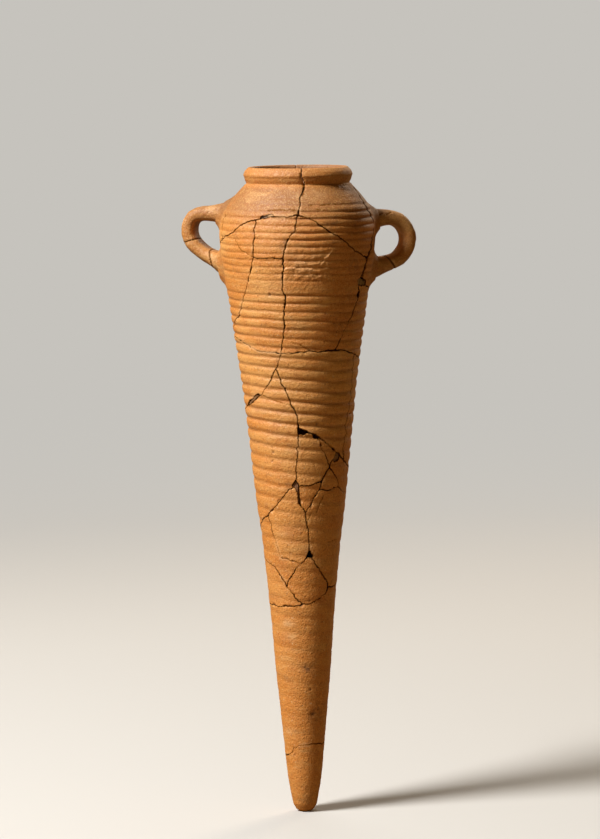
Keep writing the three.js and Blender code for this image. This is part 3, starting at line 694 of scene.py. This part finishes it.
def add(tree, kind, settings=None, out=0, **inputs):
    """One output of a new shader node. Values or links go on its inputs by name or by number."""
    node = tree.nodes.new("ShaderNode" + kind)
    for key, value in (settings or {}).items():
        setattr(node, key, value)
    for key, value in inputs.items():
        socket = node.inputs[int(key[1:])] if key[0] == "_" else node.inputs[key.replace("_", " ")]
        if isinstance(value, bpy.types.NodeSocket):
            tree.links.new(value, socket)
        else:
            socket.default_value = value
    return node.outputs[out] if len(node.outputs) else None


# Patterns of the clay: size in mm, detail, roughness, and how much flatter than wide. The sand in
# the clay is about 0.3 mm and is drawn four times as coarse, so that it shows.
CLAY_PATTERNS = {
    "clouds": (62, 4, 0.55, 1), "streaks": (38, 5, 0.6, 9), "wash": (24, 3, 0.55, 3),
    "blotches": (15, 4, 0.55, 1), "spots": (5, 3, 0.55, 1), "crumbs": (2.4, 3, 0.6, 1),
    "sand": (1.2, 2, 0.6, 1), "grit": (1.8, 1, 0.55, 1),
}
# what is painted on the corners of the meshes
PAINTED = ("trough", "edge", "inside", "tint", "pale", "stain")
# weights of patterns in the tone of the firing and in the relief
CLAY_SUMS = {
    "tone": {"clouds": 0.5, "streaks": 0.5, "tint": 0.06},
    "relief": {"crumbs": 0.9, "sand": 0.5, "streaks": 0.6},
}
# height of the relief in mm, and how much of it shows
CLAY_RELIEF = 0.9
CLAY_BUMP = 0.6
# the crumbs make the clay duller or shinier, and the dirt and painted shade in the breaks take its sheen
# away:
# what it follows, the values between which it changes, and what it is at both
CLAY_SURFACE = {"roughness": ("crumbs", 0.3, 0.7, 0.56, 0.76), "sheen": ("edge", 0, 0.4, 0.8, 0.05)}
# heights in metres, for the layers below
TALL = JAR_HEIGHT * MM
FOOT_TO_WAIST = (0.39 * TALL, 0.78 * TALL)
UP_THE_COLLAR = (0.9 * TALL, 0.95 * TALL)
UP_THE_LIP = (0.967 * TALL, 0.975 * TALL)
# Layers of colour over the plain one, lowest first: name, tone, the painted share that it follows, and its
# masks, each with what it follows, the values between which it changes, and its strength at both
CLAY_LAYERS = (
    ("buff", "buff", None, ("tone", 0.42, 0.6, 0, 1)),
    # the body is fired a deeper orange towards the foot
    ("foot", "#d6842c", None, ("height", *FOOT_TO_WAIST, 0.5, 0)),
    # and turns darker and duller up the collar, less so on the lip
    ("collar", "#925c24", None, ("height", *UP_THE_COLLAR, 0, 1), ("height", *UP_THE_LIP, 0.85, 0.4)),
    ("deep", "deep", None, ("blotches", 0.54, 0.72, 0, 0.45)),
    ("orange spots", "#c9712a", None, ("spots", 0.58, 0.74, 0, 0.3)),
    ("pale wash", "#dca763", None, ("wash", 0.55, 0.72, 0, 0.4)),
    ("dull wash", "#a1723f", None, ("wash", 0.42, 0.3, 0, 0.25)),
    ("dark sand", "#965a22", None, ("sand", 0.5, 0.68, 0, 0.28)),
    ("pale sand", "#f0c274", None, ("sand", 0.5, 0.34, 0, 0.26)),
    ("dark crumbs", "#7c471f", None, ("crumbs", 0.6, 0.72, 0, 0.35)),
    # pale grains of lime here and there, fewer on the wiped collar
    ("lime", "#ecd0a2", None, ("grit", 0.69, 0.76, 0, 0.42), ("collar", 0, 1, 1, 0.3)),
    # painted shade in the sherds' rib grooves, and dirt spots on the handles
    ("painted shade in the grooves and dirt on the handles", "#8c4f22", "trough", ("streaks", 0.35, 0.6, 0.2, 0.5)),
    # pale clay, and painted light inside the right handle's loop and on the spike's faint ridges
    ("pale patches and painted light", "#e0ae76", "pale"),
    # stains, with painted shade in pits, inside the left handle's loop and on the handles' undersides
    ("stains", "#5c3a1f", "stain"),
    # painted shade on the inside of the jar, and the mortar's dirt
    ("painted shade inside and mortar dirt", "#80502c", "inside"),
    ("shade in the breaks", "#3a1d0b", "edge"),
)


def clay_material(name, orange, buff, deep, grain=1.0):
    """Unglazed earthenware, thrown, wiped wet and fired: dull and gritty, cloudy orange and buff in streaks
    round the jar, with painted shade in its grooves and on its inside."""
    material = bpy.data.materials.new(name)
    tree = empty_tree(material)
    place = add(tree, "TexCoord", out="Object")
    values = {"height": add(tree, "SeparateXYZ", out="Z", Vector=place)}
    for key in PAINTED:
        values[key] = add(tree, "Attribute", {"attribute_name": key}, "Fac")
    for key, (size, detail, rough, flatness) in CLAY_PATTERNS.items():
        scaled = add(tree, "Mapping", Vector=place, Scale=(1, 1, flatness))
        values[key] = add(tree, "TexNoise", out="Fac", Vector=scaled, Scale=1 / (size * MM), Detail=detail,
                          Roughness=rough)
    for key, weights in CLAY_SUMS.items():
        values[key] = 0.0
        for part, weight in weights.items():
            values[key] = add(tree, "Math", {"operation": "MULTIPLY_ADD"}, _0=values[part],
                              _1=weight, _2=values[key])

    colour = linear(orange)
    own_tones = {"buff": buff, "deep": deep}
    for key, tone, share, *masks in CLAY_LAYERS:
        factor = values.get(share)
        for pattern, low, high, at_low, at_high in masks:
            mask = add(tree, "MapRange", SMOOTH, Value=values[pattern], _1=low, _2=high, _3=at_low,
                       _4=at_high)
            if factor is not None:
                mask = add(tree, "Math", PRODUCT, _0=factor, _1=mask)
            factor = mask
        values[key] = factor
        tone = linear(own_tones.get(tone, tone))
        colour = add(tree, "Mix", OF_COLOURS, 2, _0=factor, _6=colour, _7=tone)

    for key, (source, low, high, at_low, at_high) in CLAY_SURFACE.items():
        values[key] = add(tree, "MapRange", SMOOTH, Value=values[source], _1=low, _2=high, _3=at_low,
                          _4=at_high)
    bump = add(tree, "Bump", Strength=CLAY_BUMP * grain, Distance=CLAY_RELIEF * MM, Height=values["relief"])
    shader = add(tree, "BsdfPrincipled", Base_Color=colour, Roughness=values["roughness"],
                 Normal=bump, Specular_IOR_Level=values["sheen"])
    add(tree, "OutputMaterial", Surface=shader)
    return material


sherd_clay = clay_material("fired clay of the sherds", "#cf812e", "#dc9c50", "#bd6d27")
handle_clay = clay_material("fired clay of the handles", "#b8742c", "#c38c46", "#a96326")
# lime mortar with yellow earth, rubbed into the gaps by hand: paler and rougher than the clay
mortar_fill = clay_material("lime mortar of the repair", "#94793a", "#ab8f50", "#6d5524", 1.6)

HANDLE_MESHES = {node: remeshed(node, node + "_clay") for node in HANDLES}


def roots_on_wall():
    """Places where the handles meet the wall, on its outside."""
    points = []
    for _, co in HANDLE_MESHES.values():
        r, turn = cylinder(co)
        near = r - plain_radius(co[:, 2]) < ROOT_NEAR
        points.append(cartesian(plain_radius(co[near, 2]), turn[near], co[near, 2]))
    return np.concatenate(points)


roots = tree_of(roots_on_wall())


# Sherds. The arrays of a sherd hold one value for each corner of its mesh.
def places_in_wall(co):
    """Radius, turn and height of a sherd's corners, and their depth from 0 inside the jar to 1 outside."""
    sherd = SimpleNamespace()
    r, sherd.turn = cylinder(co)
    sherd.z = co[:, 2].copy()
    # flat sides of the solid rounded off
    side = 2 * np.pi / TURN_SIDES
    sherd.r = r * np.cos(np.mod(sherd.turn, side) - side / 2) / np.cos(side / 2)
    outer = by_height(sherd.z, RINGS)
    sherd.inner = by_height(sherd.z, HOLLOW)
    depth = np.clip((sherd.r - sherd.inner) / np.maximum(outer - sherd.inner, THINNEST_WALL), 0, 1)
    sherd.lip = sherd.z > LIP_BOTTOM
    outside = (depth > 1 - FACE_SHARE) & ~sherd.lip
    inside = (depth < FACE_SHARE) & ~sherd.lip & (sherd.z > SMOOTH_HOLLOW)
    sherd.depth = np.where(outside, 1, np.where(inside, 0, depth))
    sherd.on_skin = sherd.depth > SKIN_SHARE
    return sherd


def let_breaks_wander(sherd):
    """Moves corners a little along the wall, alike on both sides of a break."""
    surface = cartesian(plain_radius(sherd.z), sherd.turn, sherd.z)
    above_foot = ramp(*WANDER_BEGIN, sherd.z)
    sway = uneven(surface, "sway") + uneven(surface, "fine sway")
    lift = uneven(surface, "lift") + uneven(surface, "fine lift")
    for x, height, size, shift in JOGS:
        near = bell(np.hypot(surface[:, 0] - x, sherd.z - height), size)
        sway = sway + shift * near * (surface[:, 1] < 0)
    sherd.turn = sherd.turn + sway * above_foot / np.maximum(plain_radius(sherd.z), NARROWEST)
    sherd.z = sherd.z + lift * above_foot * (1 - ramp(*WANDER_END, sherd.z))


def find_breaks(sherd, normals):
    """Distance of corners to the sherd's own breaks and to the roots of the handles."""
    radial = outward(sherd.turn)
    sherd.along = normals - radial * np.sum(normals * radial, axis=1, keepdims=True)
    in_wall = (sherd.depth > BREAK_SHARES[0]) & (sherd.depth < BREAK_SHARES[1])
    sideways = np.hypot(sherd.along[:, 0], sherd.along[:, 1]) > LIP_BREAK_SLANT
    broken = np.where(sherd.lip, sideways, in_wall)
    sherd.shell = cartesian(plain_radius(sherd.z), sherd.turn, sherd.z)
    sherd.shell[sherd.lip] = cartesian(sherd.r, sherd.turn, sherd.z)[sherd.lip]
    sherd.gap = nearest(tree_of(sherd.shell[broken]), sherd.shell, BREAK_REACH)
    sherd.from_handle = np.abs(np.abs(sherd.turn) - math.radians(HANDLE_TURN))
    by_handle = (sherd.from_handle < HANDLE_SIDE) & (sherd.z > HANDLE_BOTTOM) & sherd.on_skin
    sherd.root = nearest(roots, sherd.shell, ROOT_REACH, by_handle)
    sherd.across = plain_radius(sherd.z) * np.sin(sherd.turn)
    sherd.front = (np.cos(sherd.turn) > 0) * 1.0
    sherd.jitter = uneven(sherd.shell, "jitter")


def on_front(sherd, table):
    return patches(sherd.across, sherd.z, table) * sherd.front


def traced(sherd, paths, width, sway=1, lift=1):
    """Marks along paths on the front, from 0 to 1, made uneven by that much of the jitter."""
    marks = np.zeros(len(sherd.z))
    for path in paths:
        away = beside(sherd.across + sway * sherd.jitter, sherd.z + lift * sherd.jitter, path)
        marks = np.maximum(marks, bell(away, width))
    return marks * sherd.front


def wear_breaks(sherd):
    """How chipped, how open and how tight the breaks are, from 0 to 1, and how far their edges drop."""
    loose = on_front(sherd, LOOSE)
    # small crumbs are lost here and there along a loose break
    lost = CRUMBS_LOST * loose * spots(sherd.shell, "crumbs")
    sherd.open_wide = np.maximum(on_front(sherd, WORN), lost)
    sherd.chips = np.maximum(spots(sherd.shell, "chips"), sherd.open_wide)
    sherd.sealed = on_front(sherd, SEALED)
    tight = np.maximum(spots(sherd.shell, "tight breaks") * (1 - loose), sherd.sealed)
    tight = tight * (1 - np.minimum(CHIPS_LOOSEN * sherd.chips, 1))
    # at the back the lip's breaks are shut
    sherd.tight = np.where(sherd.lip & (sherd.front == 0), 1, tight)
    width = EDGE_WIDTH + CHIP_WIDTH * sherd.chips
    sherd.drop = bell(sherd.gap, width) * (EDGE_DROP + CHIP_DROP * sherd.chips)


def lay_smear(sherd):
    """Where wet clay was smeared on the shoulder, and its curls, from 0 to 1."""
    x, z, wide, high = SMEAR
    away = ((sherd.across - x) / wide) ** 4 + ((sherd.z - z) / high) ** 4
    away = away + uneven(sherd.shell, "smear edge")
    sherd.smear = (1 - ramp(*SMEAR_EDGE, away)) * sherd.front
    sherd.curls = traced(sherd, SMEAR_CURLS, CURL_WIDTH, sway=2)


def rib_strength(sherd):
    """How deep the ribs are from place to place: uneven, and wiped or smeared away here and there."""
    strength = 1.0 + uneven(sherd.shell, "rib depth") + uneven(sherd.shell * RIB_BANDS, "rib bands")
    strength = strength * (1 - on_front(sherd, WIPED)) * (1 - SMEARED_AWAY * sherd.smear)
    strength = strength * (1 - SIDE_AWAY * ramp(*SIDE_FROM, sherd.across) * sherd.front)
    # the wall is wiped between the roots of a handle, and all round them
    level_with = 1 - ramp(*WIPED_HEIGHTS, np.abs(sherd.z - ROOT_HEIGHT))
    between = level_with * (1 - ramp(*WIPED_SIDES, sherd.from_handle))
    return strength * (1 - between) * ramp(*ROOT_WIPED, sherd.root)


def lay_ribs(sherd):
    """Grooves between the ribs, which wind down to the right, from 0 to about 1."""
    tilted = sherd.z + by_height(sherd.z, RIB_TILT) * sherd.across
    sherd.level = tilted + uneven(sherd.shell, "rib level") + uneven(sherd.shell, "fine rib level")
    winding = sherd.turn / (2 * np.pi)
    shoulder_end = ramp(*SHOULDER_RIBS_END, sherd.level)
    shoulder = ramp(*SHOULDER_RIBS_BEGIN, sherd.level) * (1 - shoulder_end)
    collar_top = COLLAR_RIBS_TOP + COLLAR_LEFT_RISE * ramp(*COLLAR_LEFT, sherd.across) * sherd.front
    collar_end = ramp(collar_top, collar_top + COLLAR_RIBS_FADE, sherd.level)
    collar = ramp(*COLLAR_RIBS_BEGIN, sherd.level) * (1 - collar_end)
    collar = collar * (COLLAR_RIBS + COLLAR_LEFT_GAIN * (sherd.across < 0))
    crisp = sum(gain * ramp(low, high, sherd.across) for low, high, gain in CRISP_GAINS)
    upper = (SHOULDER_RIBS_SHARE * shoulder + collar) * (CRISP + crisp * sherd.front)
    lower = (1 - ramp(*BODY_RIBS_END, sherd.level)) * by_height(sherd.z, RIB_FADE)
    groove = (rib_wave(shoulder_phase(sherd.level) - winding) * upper
              + rib_wave(body_phase(sherd.level) - winding) * lower)
    sherd.groove = groove * rib_strength(sherd)


def mark_front(sherd):
    """Pits, as deep as they are, and hairlines, scratches and gaping breaks in shade, from 0 to 1."""
    sherd.pits = on_front(sherd, PITS)
    # seen slantwise near the side, a hairline is drawn thinner
    thinner = np.sqrt(np.clip(np.cos(sherd.turn), MOST_SLANT, 1))
    hairlines = traced(sherd, HAIRLINES, HAIRLINE_WIDTH * thinner)
    scratches = traced(sherd, SCRATCHES, SCRATCH_WIDTH, sway=0, lift=0.5)
    scratches = scratches * spots(sherd.shell, "scratches")
    sherd.lines = np.maximum(hairlines, scratches) * sherd.on_skin
    sherd.shade = np.zeros(len(sherd.z))
    for width, path in SHADOWED:
        away = beside(sherd.across + sherd.jitter, sherd.z, path) / width
        shade = np.exp(-away ** 4 - (sherd.gap / SHADE_REACH) ** 4)
        sherd.shade = np.maximum(sherd.shade, shade * sherd.front * (sherd.on_skin | sherd.lip))


def shape_lip(sherd, r):
    """The lip's radius: undercut below, a faint ridge round its middle, rounded on top."""
    out_share = ramp(*LIP_OUTSIDE, r) * (sherd.depth > LIP_SHARE)
    r = r + by_height(sherd.z, LIP_CHANGES) * out_share * (sherd.z > LIP_CHANGES[0][0])
    return np.where(sherd.lip, r - (sherd.drop - uneven(sherd.shell, "lip")) * out_share, r)


def shape_wall(sherd, own):
    """New radius of the corners: smooth outline, ribs, dents, marks, and clay drawn up to the handles."""
    smooth_in = np.interp(sherd.z, FINE_Z, FINE_INSIDE)
    smooth_in = np.where(sherd.z < SMOOTH_HOLLOW, sherd.inner, smooth_in)
    rings = np.sin(body_phase(sherd.level) * 2 * np.pi * INNER_RINGS_PER_RIB)
    rings = INNER_RING_DEPTH * rings * ramp(SMOOTH_HOLLOW, RINGED_HOLLOW, sherd.z) * (1 - sherd.depth)
    torn = ramp(*TORN, 1 - np.abs(uneven(sherd.shell * TORN_FLATNESS, "torn clay")))
    crumbled = sherd.smear * (SMEAR_TOP + (1 - SMEAR_TOP) * ramp(*SMEAR_CRUMBLED, sherd.z))
    fillet = ROOT_RISE * np.clip(1 - sherd.root / ROOT_FILLET, 0, 1) ** ROOT_SHARPNESS
    raised = sum(uneven(sherd.shell, name) for name in ("wall", "dents", "grit")) + OWN_RISE * own + fillet
    raised = raised + crumbled * (TORN_RISE * torn - TORN_SINK) + CURL_HEIGHT * sherd.curls
    sunk = RIB_DEPTH * sherd.groove + sherd.drop + sherd.pits + LINE_DEPTH * sherd.lines
    target = np.interp(sherd.z, FINE_Z, FINE_OUTSIDE) + raised - sunk
    fine = smooth_in + rings + sherd.depth * (target - smooth_in - rings)
    kept = np.where(sherd.lip, 1, 1 - ramp(*FOOT_KEPT, sherd.z))
    r = shape_lip(sherd, kept * sherd.r + (1 - kept) * fine)
    return np.where(fillet > RAISED, r, np.minimum(r, WIDEST))


def close_breaks(sherd, mesh, co):
    """Breaks pressed shut in some stretches and gaping where they are chipped, and the rim's lean."""
    shut = np.where(sherd.lip, SHUT_LIP, SHUT + SHUT_OUTSIDE * ramp(*SHUT_SHARES, sherd.depth))
    push = shut * sherd.tight - GAPE * sherd.open_wide
    push = push * ramp(*PUSH_REACH, sherd.gap) * (sherd.z > FOOT_KEPT[1])
    co = co + sherd.along * push.reshape(-1, 1)
    co[:, 0] += RIM_LEAN * ramp(*RIM_LEAN_FROM, co[:, 2])
    easy = np.where(sherd.lip | (sherd.z < FOOT_EASED), EASE, 0) * ramp(*EASE_FROM_BREAK, sherd.gap)
    co = relax(mesh, co, EASE_ROUNDS, easy)
    co[:, 2] = np.clip(co[:, 2], 0, JAR_HEIGHT)
    return co


def paint_sherd(sherd, mesh, own):
    # dirt and shade in the breaks
    edge = PAINT["break"] + PAINT["loose break"] * (1 - sherd.tight) + PAINT["chips"] * sherd.chips
    edge = edge * bell(sherd.gap, EDGE_SHADE)
    edge = np.where(sherd.on_skin | sherd.lip, edge, PAINT["broken face"] * (sherd.depth > RAW_SHARE))
    edge = np.maximum.reduce([edge, PAINT["shade"] * sherd.shade, PAINT["lines"] * sherd.lines])
    mottled = MOTTLE_LOW + (1 - MOTTLE_LOW) * spots(sherd.shell, "mottles")
    speckled = SPECKLE_LOW + (1 - SPECKLE_LOW) * spots(sherd.shell, "speckles")
    # fresh clay shows beside some breaks, and glue where they are sealed
    fresh = PAINT["fresh clay"] * bell(sherd.gap - FRESH_AWAY, FRESH_WIDTH) * spots(sherd.shell, "fresh clay")
    glued = PAINT["glue"] * sherd.sealed * bell(sherd.gap, GLUE_WIDTH)
    pale = on_front(sherd, PALE_PATCHES) * mottled + PAINT["curls"] * sherd.curls
    # dark patches, painted shade in the pits, darker the deeper they are, and darker wall round the roots
    stains = [on_front(sherd, DARK_PATCHES) * speckled, PAINT["pits"] * sherd.pits,
              PAINT["roots"] * ramp(*ROOT_DARKENED, sherd.root)]
    paint(mesh,
          # painted shade in the grooves between the ribs
          trough=PAINT["grooves"] * np.where(sherd.on_skin, sherd.groove, 0),
          edge=np.clip(edge, 0, 1),
          # painted shade on the inside of the wall
          inside=np.where(sherd.depth < INSIDE_SHARE, PAINT["inside"], 0),
          tint=own,
          pale=np.clip(np.maximum.reduce([pale, fresh * sherd.on_skin, glued]), 0, 1),
          stain=np.maximum.reduce(stains))


def make_sherd(node, seed):
    mesh, co = remeshed(node, node + "_clay")
    own = own_share(seed)
    sherd = places_in_wall(co)
    let_breaks_wander(sherd)
    find_breaks(sherd, normals_of(mesh))
    wear_breaks(sherd)
    lay_smear(sherd)
    lay_ribs(sherd)
    mark_front(sherd)
    r = shape_wall(sherd, own)
    co = close_breaks(sherd, mesh, cartesian(r, sherd.turn, np.clip(sherd.z, 0, JAR_HEIGHT)))
    paint_sherd(sherd, mesh, own)
    finish_piece(mesh, co, node, sherd_clay)


def shape_handle(mesh, co, apart, broken):
    """Corners of a piece of handle, uneven, with hairlines, worn breaks and roots that run into the wall."""
    off_wall = cylinder(co)[0] - plain_radius(co[:, 2])
    free = np.where(broken | (off_wall < ROOT_STIFF), 0, ramp(*FREE_FROM_BREAK, apart))
    co = relax(mesh, co, HANDLE_ROUNDS, HANDLE_EASE * free)
    move_corners(mesh, co)
    normals = normals_of(mesh)
    lines = np.zeros(len(co))
    for width, strength, path in HANDLE_LINES:
        lines = np.maximum(lines, strength * bell(beside(co[:, 0], co[:, 2], path), width))
    lines = lines * ramp(0, FACING_FRONT, -normals[:, 1])
    chips = spots(co, "handle chips")
    wear = bell(np.maximum(apart - BREAK_GAP, 0), HANDLE_EDGE_WIDTH) * ~broken
    bulge = (uneven(co, "handle bulge") + uneven(co, "handle dents")) * free
    sunk = HANDLE_LINE_DEPTH * lines + HANDLE_EDGE_DROP * wear * (WHOLE_EDGE + chips)
    co = co + normals * np.where(broken, BREAK_RISE, bulge - sunk).reshape(-1, 1)
    r, turn = cylinder(co)
    co = cartesian(r - ROOT_SINK * (1 - ramp(*SINK_OFF_WALL, off_wall)), turn, co[:, 2])
    co = np.clip(co, np.array(cad_box[0]) / MM, np.array(cad_box[1]) / MM)
    edge = PAINT["handle edge"] * wear * (PAINT["handle break"] + chips) + PAINT["lines"] * lines
    edge = np.clip(np.where(broken, PAINT["handle broken face"], edge), 0, 1)
    return co, normals, chips, edge


def make_handle(node, seed):
    mesh, co = HANDLE_MESHES[node]
    others = np.concatenate([there for other, (_, there) in HANDLE_MESHES.items() if other != node])
    apart = nearest(tree_of(others), co, BREAK_REACH)
    broken = apart < BREAK_GAP + BROKEN_VOXELS * VOXEL
    co, normals, chips, edge = shape_handle(mesh, co, apart, broken)
    # inside the loop the left handle gets painted shade and the right one painted light; undersides get
    # painted shade
    side = 1 if cylinder(co)[1].mean() > 0 else -1
    turn = np.array([side * math.radians(HANDLE_TURN)])
    inward = cartesian(np.array([LOOP_RADIUS]), turn, np.array([LOOP_HEIGHT])) - co
    inward = inward / np.linalg.norm(inward, axis=1, keepdims=True)
    hollow = ramp(*FACING, np.sum(inward * normals, axis=1))
    fresh = bell(apart - HANDLE_FRESH_AWAY, HANDLE_FRESH_WIDTH) * (WHOLE_EDGE + chips)
    pale = [PAINT["handle pale"] * spots(co, "handle pale"), PAINT["handle fresh clay"] * fresh]
    stain = [PAINT["handle stains"] * spots(co, "handle stains"),
             PAINT["below"] * ramp(0, FACING_DOWN, -normals[:, 2])]
    if side > 0:
        pale.append(PAINT["painted light in the right loop"] * hollow)
    else:
        stain.append(PAINT["painted shade in the left loop"] * hollow)
    paint(mesh,
          trough=PAINT["handle dirt"] * spots(co, "handle dirt"),
          edge=edge,
          tint=own_share(seed),
          pale=np.maximum.reduce(pale),
          stain=np.maximum.reduce(stain))
    finish_piece(mesh, co, node, handle_clay)


def make_mortar(node, seed):
    mesh, co = remeshed(node, node + "_fill")
    normals = normals_of(mesh)
    co = relax(mesh, co, MORTAR_ROUNDS, np.full(len(co), MORTAR_EASE))
    r, turn = cylinder(co)
    radial = outward(turn)
    outside = ramp(*FACING, np.sum(normals * radial, axis=1))
    pit = MORTAR_PIT_DEPTH * spots(co, "mortar pits")
    pit = np.maximum(pit, patches(co[:, 0], co[:, 2], MORTAR_PITS))
    co = cartesian(r - pit * outside, turn, co[:, 2])
    dirt = MORTAR_DIRT.get(node, 0.0)
    # the mortar's dirt, with painted shade in its pits, the deeper the darker
    stain = PAINT["mortar dirt"] * dirt + pit / PIT_DEPTH_OF_FULL_SHADE
    paint(mesh,
          inside=dirt,
          tint=own_share(seed),
          pale=PAINT["mortar pale"] * (1 - dirt) * spots(co, "mortar pale"),
          stain=np.clip(stain, 0, PAINT["deepest pit"]))
    finish_piece(mesh, co, node, mortar_fill)


for nodes, make, first_seed in ((SHERDS, make_sherd, SHERD_SEED), (HANDLES, make_handle, HANDLE_SEED),
                                (MORTARS, make_mortar, MORTAR_SEED)):
    for number, node in enumerate(nodes):
        make(node, first_seed + number)

# Plain pale floor that turns up into a backdrop, in metres
FLOOR_HALF = 6
BACKDROP_PLACE = 3.2
BACKDROP_HEIGHT = 5
BACKDROP_BEND = 1.4
BEND_STEPS = 24
FLOOR_DROP = 0.0002
PLAIN_FROM = 0.8
PLAIN_TO = 2.4
PALE_TONE = "#c6c3bd"
PAPER_TONE = "#cdcbc6"
PAPER_AS_REFLECTOR = "#7f6840"
PAPER_ROUGHNESS = 0.9


def floor_mesh():
    """A strip of floor, a quarter bend and an upright wall, drawn out from one edge."""
    shape = bmesh.new()
    ends = [shape.verts.new((x, -FLOOR_HALF, -FLOOR_DROP)) for x in (-FLOOR_HALF, FLOOR_HALF)]

    def pull(edges, move):
        made = bmesh.ops.extrude_edge_only(shape, edges=edges)["geom"]
        verts = [g for g in made if isinstance(g, bmesh.types.BMVert)]
        bmesh.ops.translate(shape, verts=verts, vec=move)
        return [g for g in made if isinstance(g, bmesh.types.BMEdge) and set(g.verts) <= set(verts)]

    line = pull([shape.edges.new(ends)], (0, FLOOR_HALF + BACKDROP_PLACE - BACKDROP_BEND, 0))
    turned = bmesh.ops.spin(shape, geom=line, angle=math.pi / 2, steps=BEND_STEPS, axis=(1, 0, 0),
                            cent=(0, BACKDROP_PLACE - BACKDROP_BEND, BACKDROP_BEND - FLOOR_DROP))
    line = [g for g in turned["geom_last"] if isinstance(g, bmesh.types.BMEdge)]
    pull(line, (0, 0, BACKDROP_HEIGHT - BACKDROP_BEND))
    bmesh.ops.recalc_face_normals(shape, faces=shape.faces)
    mesh = bpy.data.meshes.new("pale_floor")
    shape.to_mesh(mesh)
    shape.free()
    shade_smooth(mesh)
    return mesh


def backdrop_paper():
    """Matt backdrop paper, pale to the eye. As a reflector it gives back less, so that shade stays shade."""
    paper = bpy.data.materials.new("pale backdrop paper")
    tree = empty_tree(paper)
    seen = add(tree, "LightPath", out="Is Camera Ray")
    colour = add(tree, "Mix", OF_COLOURS, 2, _0=seen, _6=linear(PAPER_AS_REFLECTOR), _7=linear(PAPER_TONE))
    matt = add(tree, "BsdfPrincipled", Base_Color=colour, Roughness=PAPER_ROUGHNESS)
    # away from the jar it fades, for the eye only, into one even pale tone
    place = add(tree, "TexCoord", out="Object")
    away = add(tree, "VectorMath", {"operation": "LENGTH"}, "Value", _0=place)
    fade = add(tree, "MapRange", SMOOTH, Value=away, _1=PLAIN_FROM, _2=PLAIN_TO)
    fade = add(tree, "Math", PRODUCT, _0=fade, _1=seen)
    even = add(tree, "Emission", Color=linear(PALE_TONE))
    both = add(tree, "MixShader", _0=fade, _1=matt, _2=even)
    add(tree, "OutputMaterial", Surface=both)
    return paper


floor = new_object("pale_floor", floor_mesh())
floor.data.materials.append(backdrop_paper())

# Soft lights: name, place and aim in metres, width, power in watts, colour
LIGHTS = (
    ("key", (-1.93, -1.11, 2.6), (0, 0, 0.3), 1, 177, "#fffdfb"),
    ("fill", (2, -2.6, 1.1), (0, 0, 0.3), 1.8, 1.9, "#ffcc70"),
    ("back light", (1.5, 2.6, 1.6), (0, 0, 0.3), 1, 26, "#ffe6c8"),
    ("backdrop light", (0, 1.5, 3.4), (0, 3.2, 1), 1.6, 34, "#ffffff"),
)
for name, place, aim, width, power, colour in LIGHTS:
    light = bpy.data.lights.new(name, "AREA")
    light.shape = "DISK"
    light.size = width
    light.energy = power
    light.color = linear(colour)[:3]
    lamp = new_object(name, light)
    lamp.location = place
    lamp.rotation_euler = (Vector(aim) - Vector(place)).to_track_quat("-Z", "Y").to_euler()

# The camera sees the paper's paleness beyond the floor, while the light from there stays weak and warm
ROOM_LIGHT = "#ffdc92"
ROOM_STRENGTH = 0.05
world = bpy.data.worlds.new("soft room light")
room = empty_tree(world)
seen = add(room, "LightPath", out="Is Camera Ray")
room_colour = add(room, "Mix", OF_COLOURS, 2, _0=seen, _6=linear(ROOM_LIGHT), _7=linear(PALE_TONE))
room_strength = add(room, "MapRange", Value=seen, _3=ROOM_STRENGTH, _4=1)
background = add(room, "Background", Color=room_colour, Strength=room_strength)
add(room, "OutputWorld", Surface=background)
bpy.context.scene.world = world

# Camera: a little above the middle of the jar, looking slightly down, as in the photo. Its places are in
# metres, and its sensor in mm.
CAMERA_DISTANCE = 3
CAMERA_HEIGHT = 0.634
AIM_HEIGHT = 0.3178
SEEN_HEIGHT = 0.6715
ROLL = math.radians(-0.77)
SENSOR_HEIGHT = 24
FARTHEST = 50
camera_data = bpy.data.cameras.new("camera")
camera = new_object("camera", camera_data)
eye = Vector((0, -CAMERA_DISTANCE, CAMERA_HEIGHT))
look = Vector((0, 0, AIM_HEIGHT)) - eye
camera.location = eye
turned = look.to_track_quat("-Z", "Y").to_matrix() @ Matrix.Rotation(ROLL, 3, "Z")
camera.rotation_euler = turned.to_euler()
camera_data.sensor_fit = "VERTICAL"
camera_data.sensor_height = SENSOR_HEIGHT
camera_data.lens = SENSOR_HEIGHT * look.length / SEEN_HEIGHT
camera_data.clip_end = FARTHEST
bpy.context.scene.camera = camera
bpy.context.scene.view_settings.view_transform = "Standard"
